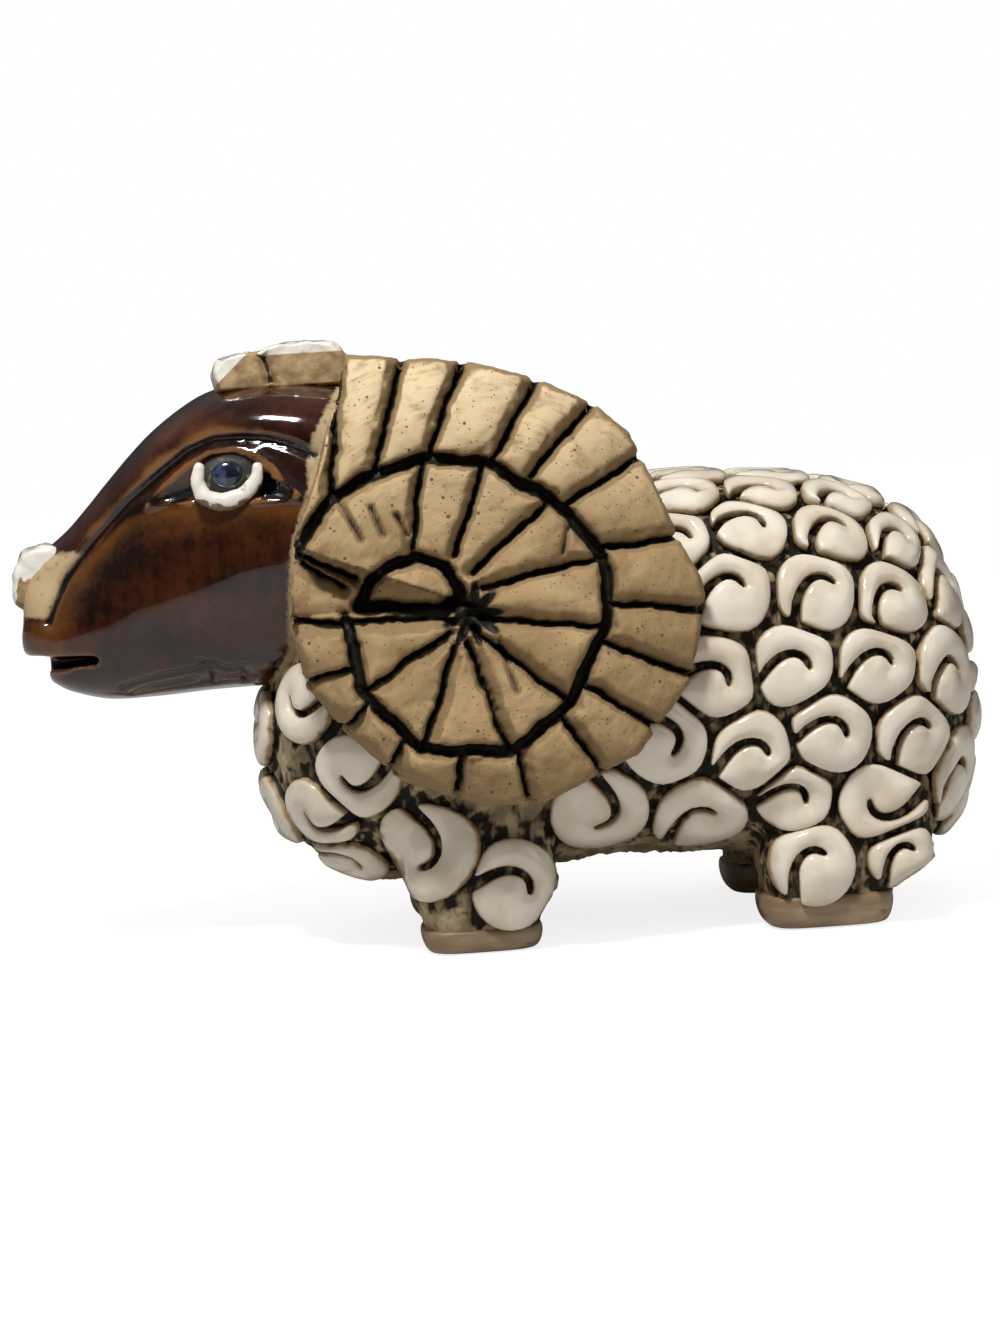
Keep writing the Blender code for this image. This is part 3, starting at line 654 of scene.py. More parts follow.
every_seat = curl_seats(FLANK_CURLS + MIDDLE_CURLS, body_surface)
flank_count = 2 * len(FLANK_CURLS)
curl_points = []
groups = (
    ("near_flank_curls", range(0, flank_count, 2)),
    ("far_flank_curls", range(1, flank_count, 2)),
    ("middle_curls", range(flank_count, len(every_seat))),
)
for number, (name, rows) in enumerate(groups):
    hand = random.Random(11 + number)
    bm = bmesh.new()
    for row in rows:
        add_curl(bm, body_surface, every_seat[row], every_seat, hand)
    bmesh.ops.recalc_face_normals(bm, faces=bm.faces)
    curls = shaped(name, bm)
    heights = []
    for vert in curls.data.vertices:
        foot, normal = body_surface.find_nearest(vert.co)[:2]
        heights.append((vert.co - foot).dot(normal) / CURL_RELIEF)
        curl_points.append(vert.co.copy())
    keep(curls.data, "rise", heights)
    add_piece(softened(curls, 1), white_glaze)

# The bare clay between the curls is finished once they stand: its black is darkest close to them, partly
# black wash and partly painted shade of the narrow grooves.
near_curls = KDTree(len(curl_points))
for index, point in enumerate(curl_points):
    near_curls.insert(point, index)
near_curls.balance()
move_out(body_clay.data, lumps(body_clay.data, GOUGE_SIZE, 4) * GOUGE_DEPTH)
closeness = np.array([near_curls.find(vert.co)[2] for vert in body_clay.data.vertices]) / MM
# The closeness term paints black next to the curls: partly black wash, partly painted shade of the narrow
# grooves.
wash_and_groove_shade = 0.9 * hollow(body_clay.data, 12) + unit(1.2 - closeness / 1.5) * 0.5
keep(body_clay.data, "sunk", wash_and_groove_shade)
add_piece(body_clay, washed_clay)

# The hooves are pads of pale clay, smoothed with a wet finger and rubbed until they shine.
# They stand a little proud of the rough legs, and are rounded below and along the top edge.

# Each level of a hoof: shares of its height, half length and half width
HOOF_LEVELS = (
    (0.0, 0.84, 0.86), (0.1, 0.91, 0.93), (0.3, 0.965, 0.97), (0.6, 1.0, 1.0), (0.85, 1.0, 1.0),
    (0.97, 0.985, 0.985), (1.1, 0.93, 0.93),
)

bm = bmesh.new()
for x, hoof_length, hoof_height, _, _ in LEGS:
    for side in (-1.0, 1.0):
        skin(bm, stacked(x, side, [
            (height * hoof_height, 0.0, hoof_length / 2.0 * share_x, HOOF_WIDTH / 2.0 * share_y)
            for height, share_x, share_y in HOOF_LEVELS
        ]))
hooves = settled(softened(shaped("hooves", bm), 2))

rubbed_clay = Finish("rubbed_clay")
patches = rubbed_clay.cloud(4.0 * MM, 4.0, (2.0, 2.0, 0.6))
worn = rubbed_clay.cloud(1.0 * MM, 4.0, (3.0, 3.0, 0.8), 2.0)
tint = patches.above(0.35, 0.7).mix(colour(0.22, 0.145, 0.075), colour(0.38, 0.29, 0.18))
smudge = (worn * 0.8 + patches * 0.5).above(0.72, 0.9)
rubbed_clay.feed(
    Base_Color=smudge.mix(tint, colour(0.05, 0.038, 0.022)), Roughness=0.42 + smudge * 0.3,
)
rubbed_clay.relief(worn, 0.15, 0.15 * MM)
add_piece(hooves, rubbed_clay)

# The head is a smooth wedge under thick brown glaze. A brow ridge overhangs a long cut crease,
# the mouth is one wedge cut, and the throat is scratched with a few folds.
MUZZLE_X = -62.2 * MM
HEAD_LENGTH = 82.2 * MM
JAW_Z = 33.4 * MM
HEAD_HEIGHT = 41.7 * MM
HEAD_WIDTH = 40.0 * MM
MOUTH_CORE = 1.6 * MM
# The cut of the mouth and the step back to the lower lip, in mm as X, Z
MOUTH_SLIT = ((-52.1, 40.0), (-66.0, 40.3), (-66.0, 38.2), (-58.0, 38.4), (-52.3, 39.1))
LIP_STEP = ((-59.2, 40.3), (-66.0, 40.3), (-66.0, 30.0), (-59.2, 30.0))
# How far the lips stand forward of the smooth wedge, in mm at each Z
LIP_FORWARD = (
    (34.0, 0.0), (35.2, 1.0), (36.8, 1.4), (38.4, 0.8), (39.8, 0.8), (40.6, 1.5), (42.5, 1.0), (44.5, 0.3),
    (46.0, 0.0),
)
LIP_END = -53.0
LIP_FADE = 3.0
EYE_X = -33.9 * MM
EYE_Z = 60.8 * MM
EYE_HOLLOW = (9.0 * MM, 1.6 * MM, 2.3 * MM)
GLAZE_GRAIN = 0.42 * MM
HEAD_SECTIONS = (
    (0.0, 0.27, 0.31, 0.36, 0.42, 0.14, 0.22, 0.2, 0.16),
    (0.012, 0.17, 0.26, 0.37, 0.46, 0.2, 0.33, 0.28, 0.24),
    (0.035, 0.11, 0.23, 0.39, 0.49, 0.24, 0.4, 0.33, 0.3),
    (0.075, 0.03, 0.2, 0.36, 0.545, 0.27, 0.48, 0.38, 0.36),
    (0.125, 0.0, 0.2, 0.46, 0.655, 0.31, 0.57, 0.43, 0.45),
    (0.18, 0.0, 0.22, 0.6, 0.775, 0.36, 0.66, 0.52, 0.56),
    (0.235, 0.0, 0.25, 0.7, 0.875, 0.41, 0.74, 0.6, 0.66),
    (0.295, 0.01, 0.28, 0.765, 0.955, 0.46, 0.82, 0.67, 0.75),
    (0.355, 0.01, 0.31, 0.785, 0.985, 0.5, 0.88, 0.74, 0.82),
    (0.42, 0.015, 0.34, 0.775, 0.995, 0.54, 0.93, 0.82, 0.88),
    (0.5, 0.02, 0.36, 0.745, 0.985, 0.58, 0.97, 0.9, 0.92),
    (0.62, 0.1, 0.38, 0.68, 0.935, 0.6, 0.98, 0.94, 0.88),
    (0.78, 0.15, 0.36, 0.6, 0.79, 0.6, 0.92, 0.92, 0.78),
    (1.0, 0.22, 0.34, 0.46, 0.56, 0.5, 0.7, 0.7, 0.52),
)
# Cuts and ridges along both sides of the head: depth, half width, and the line in mm as X, Z
HEAD_LINES = (
    (0.75, 0.55, ((-58.7, 44.8), (-56.3, 50.1), (-52.5, 54.6), (-47.6, 59.3), (-42.6, 63.0), (-39.0, 65.5),
                  (-35.6, 66.7), (-32.2, 66.7), (-28.8, 66.3), (-26.1, 65.4), (-23.2, 64.1))),
    (-0.6, 0.75, ((-44.4, 59.2), (-42.0, 61.3), (-39.2, 63.6), (-36.3, 65.2), (-33.2, 65.5), (-30.6, 64.6),
                   (-28.6, 63.0), (-27.1, 60.8), (-25.5, 59.4))),
    (-0.35, 0.4, ((-44.6, 58.6), (-41.8, 59.1), (-39.0, 58.9))),
    (-0.35, 0.4, ((-31.2, 58.6), (-28.6, 58.6), (-25.2, 58.9))),
    (0.45, 0.4, ((-49.7, 35.6), (-45.9, 36.6), (-42.4, 37.2), (-39.6, 37.7), (-37.5, 38.1))),
    (0.4, 0.35, ((-48.7, 34.6), (-45.9, 35.5), (-42.5, 35.9), (-40.4, 36.2))),
    (0.45, 0.35, ((-39.4, 38.8), (-37.9, 37.8), (-37.5, 35.8))),
    (0.45, 0.4, ((-37.5, 38.1), (-35.9, 37.3), (-33.6, 37.5), (-33.7, 35.6))),
    (0.35, 0.3, ((-37.3, 36.4), (-34.2, 36.2))),
)
EYE_CORNERS = (((-41.2, 59.9), (-38.8, 60.8)), ((-30.4, 60.8), (-27.4, 59.7)))
CORNER_HALF = 0.85
CORNER_DEPTH = 0.5 * MM
# The line from the nostril under the eye, below which the glaze runs thin
FACE_LINE = (
    (-59.0, 45.5), (-56.0, 50.0), (-52.5, 53.6), (-47.6, 58.0), (-43.5, 59.3), (-25.4, 58.8), (-15.0, 58.8),
)
# Where the glaze stops at the back of the head, in mm as X, Z, from the jaw to the crown
GLAZE_END = (
    (-31.5, 34.0), (-28.2, 39.0), (-27.7, 46.3), (-26.9, 53.0), (-25.6, 56.5), (-24.3, 60.0), (-24.0, 64.0),
    (-23.0, 67.0), (-19.0, 73.9), (-17.0, 78.0),
)
# Between these heights, in mm, the muzzle's side is bare in front of the long crease
NOSE_BARE = (45.2, 53.6)


def head_rings():
    """The sections of the head, from the tip of the muzzle to the neck."""
    rings = []
    for along, jaw_z, cheek_z, crease_z, crown_z, jaw, cheek, crease, brow in HEAD_SECTIONS:
        heights = [JAW_Z + share * HEAD_HEIGHT for share in (jaw_z, cheek_z, crease_z, crown_z)]
        widths = [share * HEAD_WIDTH / 2.0 for share in (jaw, cheek, crease, brow)]
        lift = heights[3] - heights[2]
        fall = heights[2] - heights[1]
        half = [
            (0.0, heights[0]),
            (widths[0], heights[0] + 0.06 * fall),
            (widths[1] * 0.92, heights[1] - 0.3 * (heights[1] - heights[0])),
            (widths[1], heights[1] + 0.15 * fall),
            ((widths[1] + widths[2]) / 2.0 + 0.05 * widths[1], heights[1] + 0.62 * fall),
            (widths[2], heights[2]),
            (widths[3], heights[2] + 0.16 * lift),
            (widths[3] * 0.93, heights[2] + 0.55 * lift),
            (widths[3] * 0.6, heights[2] + 0.88 * lift),
            (0.0, heights[3]),
        ]
        other = [(-y, z) for y, z in reversed(half[1:-1])]
        rings.append([(MUZZLE_X + along * HEAD_LENGTH, y, z) for y, z in half + other])
    return rings


def near_line(points, line, half_width):
    """How close each X, Z point is to a line: 1 on it, fading over the half width in mm."""
    return np.exp(-(line_distance(points, line) / half_width) ** 2)


def ring_object(name, rings):
    bm = bmesh.new()
    skin(bm, rings)
    return shaped(name, bm)


def cut_away(piece, cutter):
    """Cuts one form out of a piece and throws the cutter away."""
    step = piece.modifiers.new("cut", "BOOLEAN")
    step.operation = "DIFFERENCE"
    step.object = cutter
    settled(piece)
    bpy.data.objects.remove(cutter, do_unlink=True)


def add_ball(bm, centre, halves):
    """A rounded lump with the given half sizes."""
    made = bmesh.ops.create_uvsphere(bm, u_segments=32, v_segments=20, radius=1.0)["verts"]
    bmesh.ops.scale(bm, vec=halves, verts=made)
    bmesh.ops.translate(bm, vec=centre, verts=made)


head = settled(softened(ring_object("head", head_rings()), 3))
points = places(head.data)
ahead = np.clip(LIP_END - points[:, 0] / MM, 0.0, LIP_FADE)
points[:, 0] -= np.interp(points[:, 2] / MM, *zip(*LIP_FORWARD)) * ahead / LIP_FADE * MM
set_places(head.data, points)
for outline, inner, outer in (
    (MOUTH_SLIT, -HEAD_WIDTH / 2.0, -MOUTH_CORE), (MOUTH_SLIT, MOUTH_CORE, HEAD_WIDTH / 2.0),
    (LIP_STEP, -HEAD_WIDTH / 3.0, HEAD_WIDTH / 3.0),
):
    rings = [[(x * MM, y, z * MM) for x, z in outline] for y in (inner, outer)]
    cut_away(head, ring_object("mouth_cut", rings))
head_surface = tree_of(head)
eye_seats = {
    side: head_surface.ray_cast(
        Vector((EYE_X, side * HEAD_WIDTH, EYE_Z)), Vector((0.0, -side, 0.0))
    )[0] for side in (-1.0, 1.0)
}
for seat in eye_seats.values():
    bm = bmesh.new()
    add_ball(bm, seat, EYE_HOLLOW)
    cut_away(head, shaped("eye_hollow", bm))
reworked(head, GLAZE_GRAIN, 5)
points = places(head.data)
flat = points[:, (0, 2)] / MM
sideways = unit((np.abs(points[:, 1]) / MM - 2.0) / 2.0)
heights = sum(-depth * near_line(flat, line, half_width) for depth, half_width, line in HEAD_LINES)
move_out(head.data, heights * sideways * MM)
move_out(head.data, lumps(head.data, 9.0 * MM, 2) * 0.1 * MM)
corners = sum(near_line(flat, line, CORNER_HALF) for line in EYE_CORNERS)
move_out(head.data, -CORNER_DEPTH * corners * sideways)
keep(head.data, "sunk", hollow(head.data, 14) + 0.4 * corners)
under = line_distance(flat, FACE_LINE)
below = unit(np.interp(flat[:, 0], *zip(*FACE_LINE)) - flat[:, 1])
keep(head.data, "thin", unit(1.0 - under / 7.5) ** 2 * below)
glaze_end = np.array(GLAZE_END)
bare = flat[:, 0] - np.interp(flat[:, 1], glaze_end[:, 1], glaze_end[:, 0])
groove_x = np.interp(flat[:, 1], *zip(*[(z, x) for x, z in HEAD_LINES[0][2][:3]]))
nose_side = np.minimum(flat[:, 1] - NOSE_BARE[0], NOSE_BARE[1] - flat[:, 1])
nose_side = np.minimum(nose_side, groove_x - flat[:, 0] - 0.2)
keep(head.data, "bare", np.maximum(bare, nose_side))

brown_glaze = Finish("brown_glaze", Coat_Roughness=0.03, Coat_IOR=1.5, Specular_IOR_Level=0.3)
streaks = brown_glaze.cloud(7.0 * MM, 5.0, (1.6, 1.0, 0.8))
fine = brown_glaze.cloud(0.8 * MM, 4.0, seed=4.0)
sunk = brown_glaze.attribute("sunk")
bare = brown_glaze.attribute("bare")
runs = brown_glaze.cloud(1.6 * MM, 3.0, (1.0, 1.0, 4.0), 9.0)
worn = brown_glaze.attribute("thin")
depth = (streaks * 0.7 + runs * 0.3 + (fine - 0.5) * 0.2).above(0.38, 0.66)
glaze = depth.mix(colour(0.009, 0.003, 0.0018), colour(0.05, 0.0125, 0.004))
glaze = (worn * 1.1 + (streaks - 0.5) * 1.1 + (fine - 0.5) * 0.3).above(0.1, 1.0).mix(
    glaze, colour(0.115, 0.042, 0.01)
)
amber = ((0.0 - sunk) * 3.0 + (streaks - 0.5) * 1.1).above(0.26, 0.8)
glaze = amber.mix(glaze, colour(0.19, 0.085, 0.026))
pooled = (sunk + (fine - 0.5) * 0.1).above(0.08, 0.22)
glaze = pooled.mix(glaze, colour(0.005, 0.0035, 0.0025))
ends = (bare + (fine - 0.5) * 1.2).above(-0.2, 0.5)
dull = (sunk + (fine - 0.5) * 0.6 + streaks * 0.5).above(0.24, 0.52).mix(
    colour(0.42, 0.31, 0.17), BLACK_WASH
)
matt = sunk.above(0.26, 0.55)
brown_glaze.feed(
    Base_Color=ends.mix(glaze, dull), Roughness=0.1 + ends * 0.6 + fine * 0.03 + matt * 0.3,
    Coat_Weight=((1.0 - ends) * (1.0 - matt)) * 0.7,
)
add_piece(head, brown_glaze)

# Each eye is a ball of clay with a curved roll of white glaze round its lower half, a dark blue
# drop of glaze for the pupil, and black wash in both corners.
# The middle of the roll in mm as X and Z, and its radius there
EYE_ROLL = (
    (-37.6, 63.6, 0.75), (-37.9, 61.6, 0.95), (-37.2, 59.7, 1.15), (-35.4, 58.9, 1.25), (-33.3, 59.2, 1.2),
    (-31.5, 60.3, 1.05), (-30.5, 61.7, 0.9), (-30.3, 63.1, 0.7),
)
ROLL_OUT = 0.9 * MM
ROLL_SIDES = 12
# Both lumps in mm: the middle as X, Z, how far it lies out from the head, and the half sizes
EYE_BALL = (-34.0, 61.2, -0.2, (4.4, 1.5, 3.6))
PUPIL = (-34.1, 62.3, 1.0, (2.1, 0.8, 1.75))


def rolled(bm, points, radii):
    """A roll of clay along a path, with rounded ends."""
    rings = []
    count = len(points)
    runs = [(points[min(i + 1, count - 1)] - points[max(i - 1, 0)]).normalized() for i in range(count)]
    turns = [2.0 * math.pi * i / ROLL_SIDES for i in range(ROLL_SIDES)]
    stations = [(points[0] - runs[0] * radii[0] * 0.7, runs[0], radii[0] * 0.6)]
    stations += list(zip(points, runs, radii))
    stations += [(points[-1] + runs[-1] * radii[-1] * 0.7, runs[-1], radii[-1] * 0.6)]
    for point, run, radius in stations:
        side = run.cross(Vector((0.0, 1.0, 0.0))).normalized()
        over = side.cross(run)
        rings.append([
            point + (side * math.cos(turn) + over * math.sin(turn)) * radius for turn in turns
        ])
    skin(bm, rings)


def smoothed_line(points, steps):
    """More points along a smooth line through the given ones."""
    ends = [2 * points[0] - points[1]] + list(points) + [2 * points[-1] - points[-2]]
    line = []
    for a, b, c, d in zip(ends, ends[1:], ends[2:], ends[3:]):
        for step in range(steps):
            t = step / steps
            bend = (2 * a - 5 * b + 4 * c - d) * t * t + (3 * b - a - 3 * c + d) * t ** 3
            line.append(0.5 * (2 * b + (c - a) * t + bend))
    return line + [points[-1]]


bm_whites = bmesh.new()
bm_balls = bmesh.new()
bm_pupils = bmesh.new()
for side, seat in eye_seats.items():
    lid = seat.y + side * ROLL_OUT
    path = smoothed_line([Vector((x * MM, lid, z * MM)) for x, z, _ in EYE_ROLL], 4)
    rolled(bm_whites, path, smoothed_line([radius * MM for _, _, radius in EYE_ROLL], 4))
    for target, (x, z, out, halves) in ((bm_balls, EYE_BALL), (bm_pupils, PUPIL)):
        add_ball(target, (x * MM, seat.y + side * out * MM, z * MM), Vector(halves) * MM)
eye_whites = settled(softened(shaped("eye_whites", bm_whites), 1))
move_out(eye_whites.data, lumps(eye_whites.data, 1.6 * MM, 3) * 0.14 * MM)
facing = directions(eye_whites.data)
keep(eye_whites.data, "under", unit(-facing[:, 2] * 1.4 - 0.2))
eye_balls = shaped("eye_balls", bm_balls)
pupils = shaped("pupils", bm_pupils)

eye_white = Finish("eye_white", Coat_Roughness=0.03)
spots = eye_white.cloud(1.5 * MM, 4.0)
missed = (spots + eye_white.attribute("under") * 0.4).above(0.62, 0.74)
eye_white.feed(
    Base_Color=missed.mix(colour(0.8, 0.75, 0.66), colour(0.2, 0.13, 0.06)),
    Roughness=0.12 + missed * 0.3, Coat_Weight=0.8 - missed * 0.6,
)
add_piece(eye_whites, eye_white)
eye_dark = Finish("eye_dark")
grime = eye_dark.cloud(1.2 * MM, 5.0)
eye_dark.feed(
    Base_Color=grime.above(0.5, 0.72).mix(BLACK_WASH, colour(0.16, 0.12, 0.07)),
    Roughness=0.5 + grime * 0.2,
)
eye_dark.relief(grime, 0.4, 0.2 * MM)
add_piece(eye_balls, eye_dark)
pupil_glaze = Finish("pupil_glaze", Coat_Roughness=0.02)
haze = pupil_glaze.cloud(1.4 * MM, 3.0)
pupil_glaze.feed(
    Base_Color=haze.above(0.4, 0.65).mix(colour(0.006, 0.01, 0.022), colour(0.035, 0.055, 0.11)),
    Roughness=0.1 + haze * 0.1, Coat_Weight=0.7 + haze * 0.2,
)
add_piece(pupils, pupil_glaze)

# The horns are two thick plates pressed to the neck. Cuts along each turn of the coil and across
# it leave wedge blocks, one edge of each pared away in a chamfer. The clay is bare and matt, with
# black wash in the cuts and the streaks of a dry brush on the faces.
HORN_X = -4.3 * MM
HORN_Z = 44.3 * MM
HORN_RADIUS = 27.7 * MM
HORN_SPAN = 69.0 * MM
HORN_LEAN = math.radians(6.0)
HORN_DEPTH = 19.0 * MM
HORN_DOME = 1.1 * MM
HORN_ROLL = 2.6 * MM
HORN_GRAIN = 0.33 * MM
# The draw of how the cuts wander, fixed so that each run gives the same horns
WANDER_SEED = 3
# The cuts across and along the turns, in mm: half the width of the black bottom, and the depth
CUT_HALF = 0.48
CUT_DEPTH = 2.4
CUT_SLOPE = 0.35
RING_HALF = 0.95
RING_DEPTH = 2.9
RING_SLOPE = 0.5
# How far from a cut, and how deep, its edges are worn, pared and rounded over, in mm
EDGE_REACH = 0.9
EDGE_DEPTH = 0.15
CHAMFER_REACH = 1.75
CHAMFER_DEPTH = 1.3
PUFF_REACH = 3.6
PUFF_DEPTH = 0.9
NOTCH_DEPTH = 1.1
# The carving fades out over this depth down the horn's side, in mm
FRONT_REACH = 5.0
# The star-shaped pit where the inner cuts meet, in mm from the horn's middle
PIT = (-1.0, -0.7)
PIT_REACH = 3.6
PIT_SPOKE = 1.2
PIT_SPOKES = 9.0
PIT_DEPTH = 3.0
# Rims and grooves as turns of angle in degrees and shares of the horn's radius
OUTER_RIM = (
    (114, 1.245), (101, 1.125), (88, 1.075), (70, 1.03), (56, 1.03), (45, 1.01), (0, 1.0), (-22, 0.985),
    (-46, 0.94), (-75, 0.89), (-92, 0.855), (-118, 0.81), (-139, 0.78), (-160, 0.815), (-180, 0.82),
    (-206, 0.86),
)
ROOT_RIM = ((150, 0.86), (137, 0.91), (126, 1.02))
# The cut between the two turns
INNER_RIM = (
    (162, 0.86), (140, 0.81), (130, 0.765), (108, 0.7), (84, 0.64), (52, 0.57), (42, 0.57), (18, 0.59),
    (0, 0.575), (-13, 0.56), (-50, 0.58), (-82, 0.65), (-116, 0.67), (-148, 0.64), (-178, 0.59),
)
# Each cut across a turn: its outer angle, its inner angle and its inner share
OUTER_GROOVES = (
    (114, 139, 0.89), (102, 124, 0.755), (89, 104, 0.735), (71, 81, 0.72), (56, 65, 0.67), (38, 46, 0.645),
    (14, 22, 0.62), (-5, -2, 0.605), (-22, -20, 0.59), (-38, -40, 0.61), (-57, -57, 0.645),
    (-79, -79, 0.665), (-100, -101, 0.665), (-122, -124, 0.685), (-142, -143, 0.68), (-160, -158, 0.65),
    (-179, -177, 0.61), (-199, -192, 0.6),
)
INNER_GROOVES = (
    (160, 163, 0.56), (107, 135, 0.39), (84, 111, 0.25), (52, 98, 0.15), (18, 80, 0.085), (-13, -80, 0.05),
    (-50, -108, 0.11), (-82, -112, 0.17), (-116, -126, 0.21), (-148, -143, 0.18), (-178, -165, 0.15),
)
# The outline of the coil's tip, as angle and share pairs
HORN_TIP = ((177, 0.53), (163, 0.49), (150, 0.42), (138, 0.355), (125, 0.235), (140, 0.1), (-176, 0.16))
# Short slips of the tool on the blocks of the inner turn, in the same pairs
TOOL_SLIPS = (
    ((138, 0.83), (147, 0.6)), ((134, 0.65), (140, 0.53)), ((128.5, 0.55), (131.5, 0.45)),
    ((38, 0.52), (30, 0.44)), ((-64, 0.17), (-70, 0.4)),
)
SLIP_HALF = 0.33
SLIP_DEPTH = 1.2


def polar(angle, share):
    """A point of the horn's face, from an angle in degrees and a share of its radius."""
    turn = math.radians(angle)
    return Vector((math.cos(turn), math.sin(turn))) * (share * HORN_RADIUS)


def in_mm(line):
    """A line of angle and share pairs as X, Z in mm from the horn's middle."""
    return [tuple(polar(*point) / MM) for point in line]


def rim_share(rim, angle):
    """The rim's radius at an angle, as a share of the horn's radius."""
    low = min(point[0] for point in rim)
    high = max(point[0] for point in rim)
    turns = (angle, angle - 360.0, angle + 360.0)
    angle = next((turn for turn in turns if low <= turn <= high), angle)
    for (angle_a, share_a), (angle_b, share_b) in zip(rim, rim[1:]):
        if angle_b <= angle <= angle_a:
            return share_a + (share_b - share_a) * (angle_a - angle) / (angle_a - angle_b)
    return rim[0][1] if angle > high else rim[-1][1]


def horn_point(flat, depth, side):
    """A point of a horn, depth behind the middle of its outer face."""
    out = -HORN_SPAN / 2.0 + depth
    return Vector((
        HORN_X + flat.x,
        side * (out * math.cos(HORN_LEAN) + flat.y * math.sin(HORN_LEAN)),
        HORN_Z + flat.y * math.cos(HORN_LEAN) - depth * math.sin(HORN_LEAN),
    ))


def inside(flat, ring):
    """Whether each point lies inside a ring of points."""
    odd = np.zeros(len(flat), bool)
    for (ax, ay), (bx, by) in zip(ring, ring[1:] + ring[:1]):
        spans = (ay > flat[:, 1]) != (by > flat[:, 1])
        odd ^= spans & (flat[:, 0] < ax + (flat[:, 1] - ay) * (bx - ax) / (by - ay + 1e-9))
    return odd


def carving(flat, cross_cuts, along_cuts):
    """For each point of the face in mm: the cuts' depth, the black wash and the nearest cross cut."""
    nearest = np.full(len(flat), 1e9)
    chamfered = np.zeros(len(flat), bool)
    for start, end in cross_cuts:
        gap = line_distance(flat, (start, end))
        turn = (end[0] - start[0]) * (flat[:, 1] - start[1])
        turn -= (end[1] - start[1]) * (flat[:, 0] - start[0])
        chamfered = np.where(gap < nearest, turn < 0.0, chamfered)
        nearest = np.minimum(nearest, gap)
    nearest = np.where(inside(flat, along_cuts[1]), 9.0, nearest)
    ring = np.min([line_distance(flat, line) for line in along_cuts], axis=0)
    cut = unit((CUT_HALF - nearest) / CUT_SLOPE)
    chamfer = CHAMFER_DEPTH * unit((CHAMFER_REACH - nearest) / (CHAMFER_REACH - 0.3))
    worn_edge = EDGE_DEPTH * unit((EDGE_REACH - nearest) / 0.4)
    depth = np.where(chamfered, chamfer, worn_edge) + CUT_DEPTH * cut
    depth = np.maximum(depth, RING_DEPTH * unit((RING_HALF - ring) / RING_SLOPE))
    depth = np.maximum(depth, 0.35 * unit((RING_HALF + RING_SLOPE - ring) / RING_SLOPE))
    blackened = np.maximum(cut, unit((RING_HALF - ring) / 0.4))
    puffed = PUFF_DEPTH * unit(1.0 - np.minimum(nearest, ring) / PUFF_REACH) ** 1.6
    return depth + puffed, 0.5 * blackened, nearest


fired_clay = Finish("fired_clay", Specular_IOR_Level=0.2)
across, deep, over = (
    fired_clay.node("ShaderNodeSeparateXYZ", {}, {"Vector": fired_clay.place}, axis) for axis in "XYZ"
)
across = across - HORN_X
over = over - HORN_Z
tone = fired_clay.cloud(9.0 * MM, 4.0)
blotch = fired_clay.cloud(2.4 * MM, 5.0, seed=7.0)
pores = fired_clay.specks(0.75 * MM)
coarse_pores = fired_clay.specks(2.2 * MM, 3.0)
sunk = fired_clay.attribute("sunk")
brushed = fired_clay.node("ShaderNodeTexNoise", {}, {"Scale": 1.0, "Detail": 3.0, "Vector": fired_clay.node(
    "ShaderNodeCombineXYZ", {}, {
        "X": (across * across + over * over).math("SQRT") * (1.0 / (0.42 * MM)),
        "Y": over.math("ARCTAN2", across) * 7.0, "Z": deep * (1.0 / (3.0 * MM)),
    },
)})
clay = tone.above(0.35, 0.65).mix(colour(0.3, 0.2, 0.092), colour(0.41, 0.285, 0.142))
# Painted light: the clay is painted lighter and paler towards the top of the horn, standing in for the
# sheen there under the light from above.
clay = over.above(0.006, 0.034).mix(clay, colour(0.7, 0.545, 0.335))
clay = (blotch * 0.7 + brushed * 0.5).above(0.56, 0.92).mix(clay, colour(0.29, 0.19, 0.088))
# Painted shade: cut faces that turn away from the front are painted a darker brown, standing in for the
# shade they fall into under the light from the upper left.
painted_facet_shade = (fired_clay.attribute("sideways") + (blotch - 0.5) * 0.25).above(0.16, 0.34)
clay = painted_facet_shade.mix(clay, colour(0.255, 0.17, 0.082))
pricks = (pores - 0.1).above(0.0, 0.07) * (coarse_pores - 0.07).above(0.0, 0.05)
clay = pricks.mix(colour(0.12, 0.085, 0.045), clay)
wash = (sunk + (blotch - 0.5) * 0.3).above(0.1, 0.36)
fired_clay.feed(Base_Color=wash.mix(clay, BLACK_WASH), Roughness=0.78 - wash * 0.25)
fired_clay.relief(brushed * 0.6 + blotch * 0.5 + pricks * 0.4, 0.55, 0.22 * MM)

along_cuts = [in_mm(INNER_RIM), in_mm(HORN_TIP + HORN_TIP[:1])]
cross_cuts = []
for grooves, rim in ((OUTER_GROOVES, OUTER_RIM), (INNER_GROOVES, INNER_RIM)):
    for start, end, share in grooves:
        reach = rim_share(rim, start)
        if rim is OUTER_RIM:
            reach += 0.05
            share = min(share, rim_share(INNER_RIM, end) + 0.02)
        cross_cuts.append(in_mm(((start, reach), (end, share))))

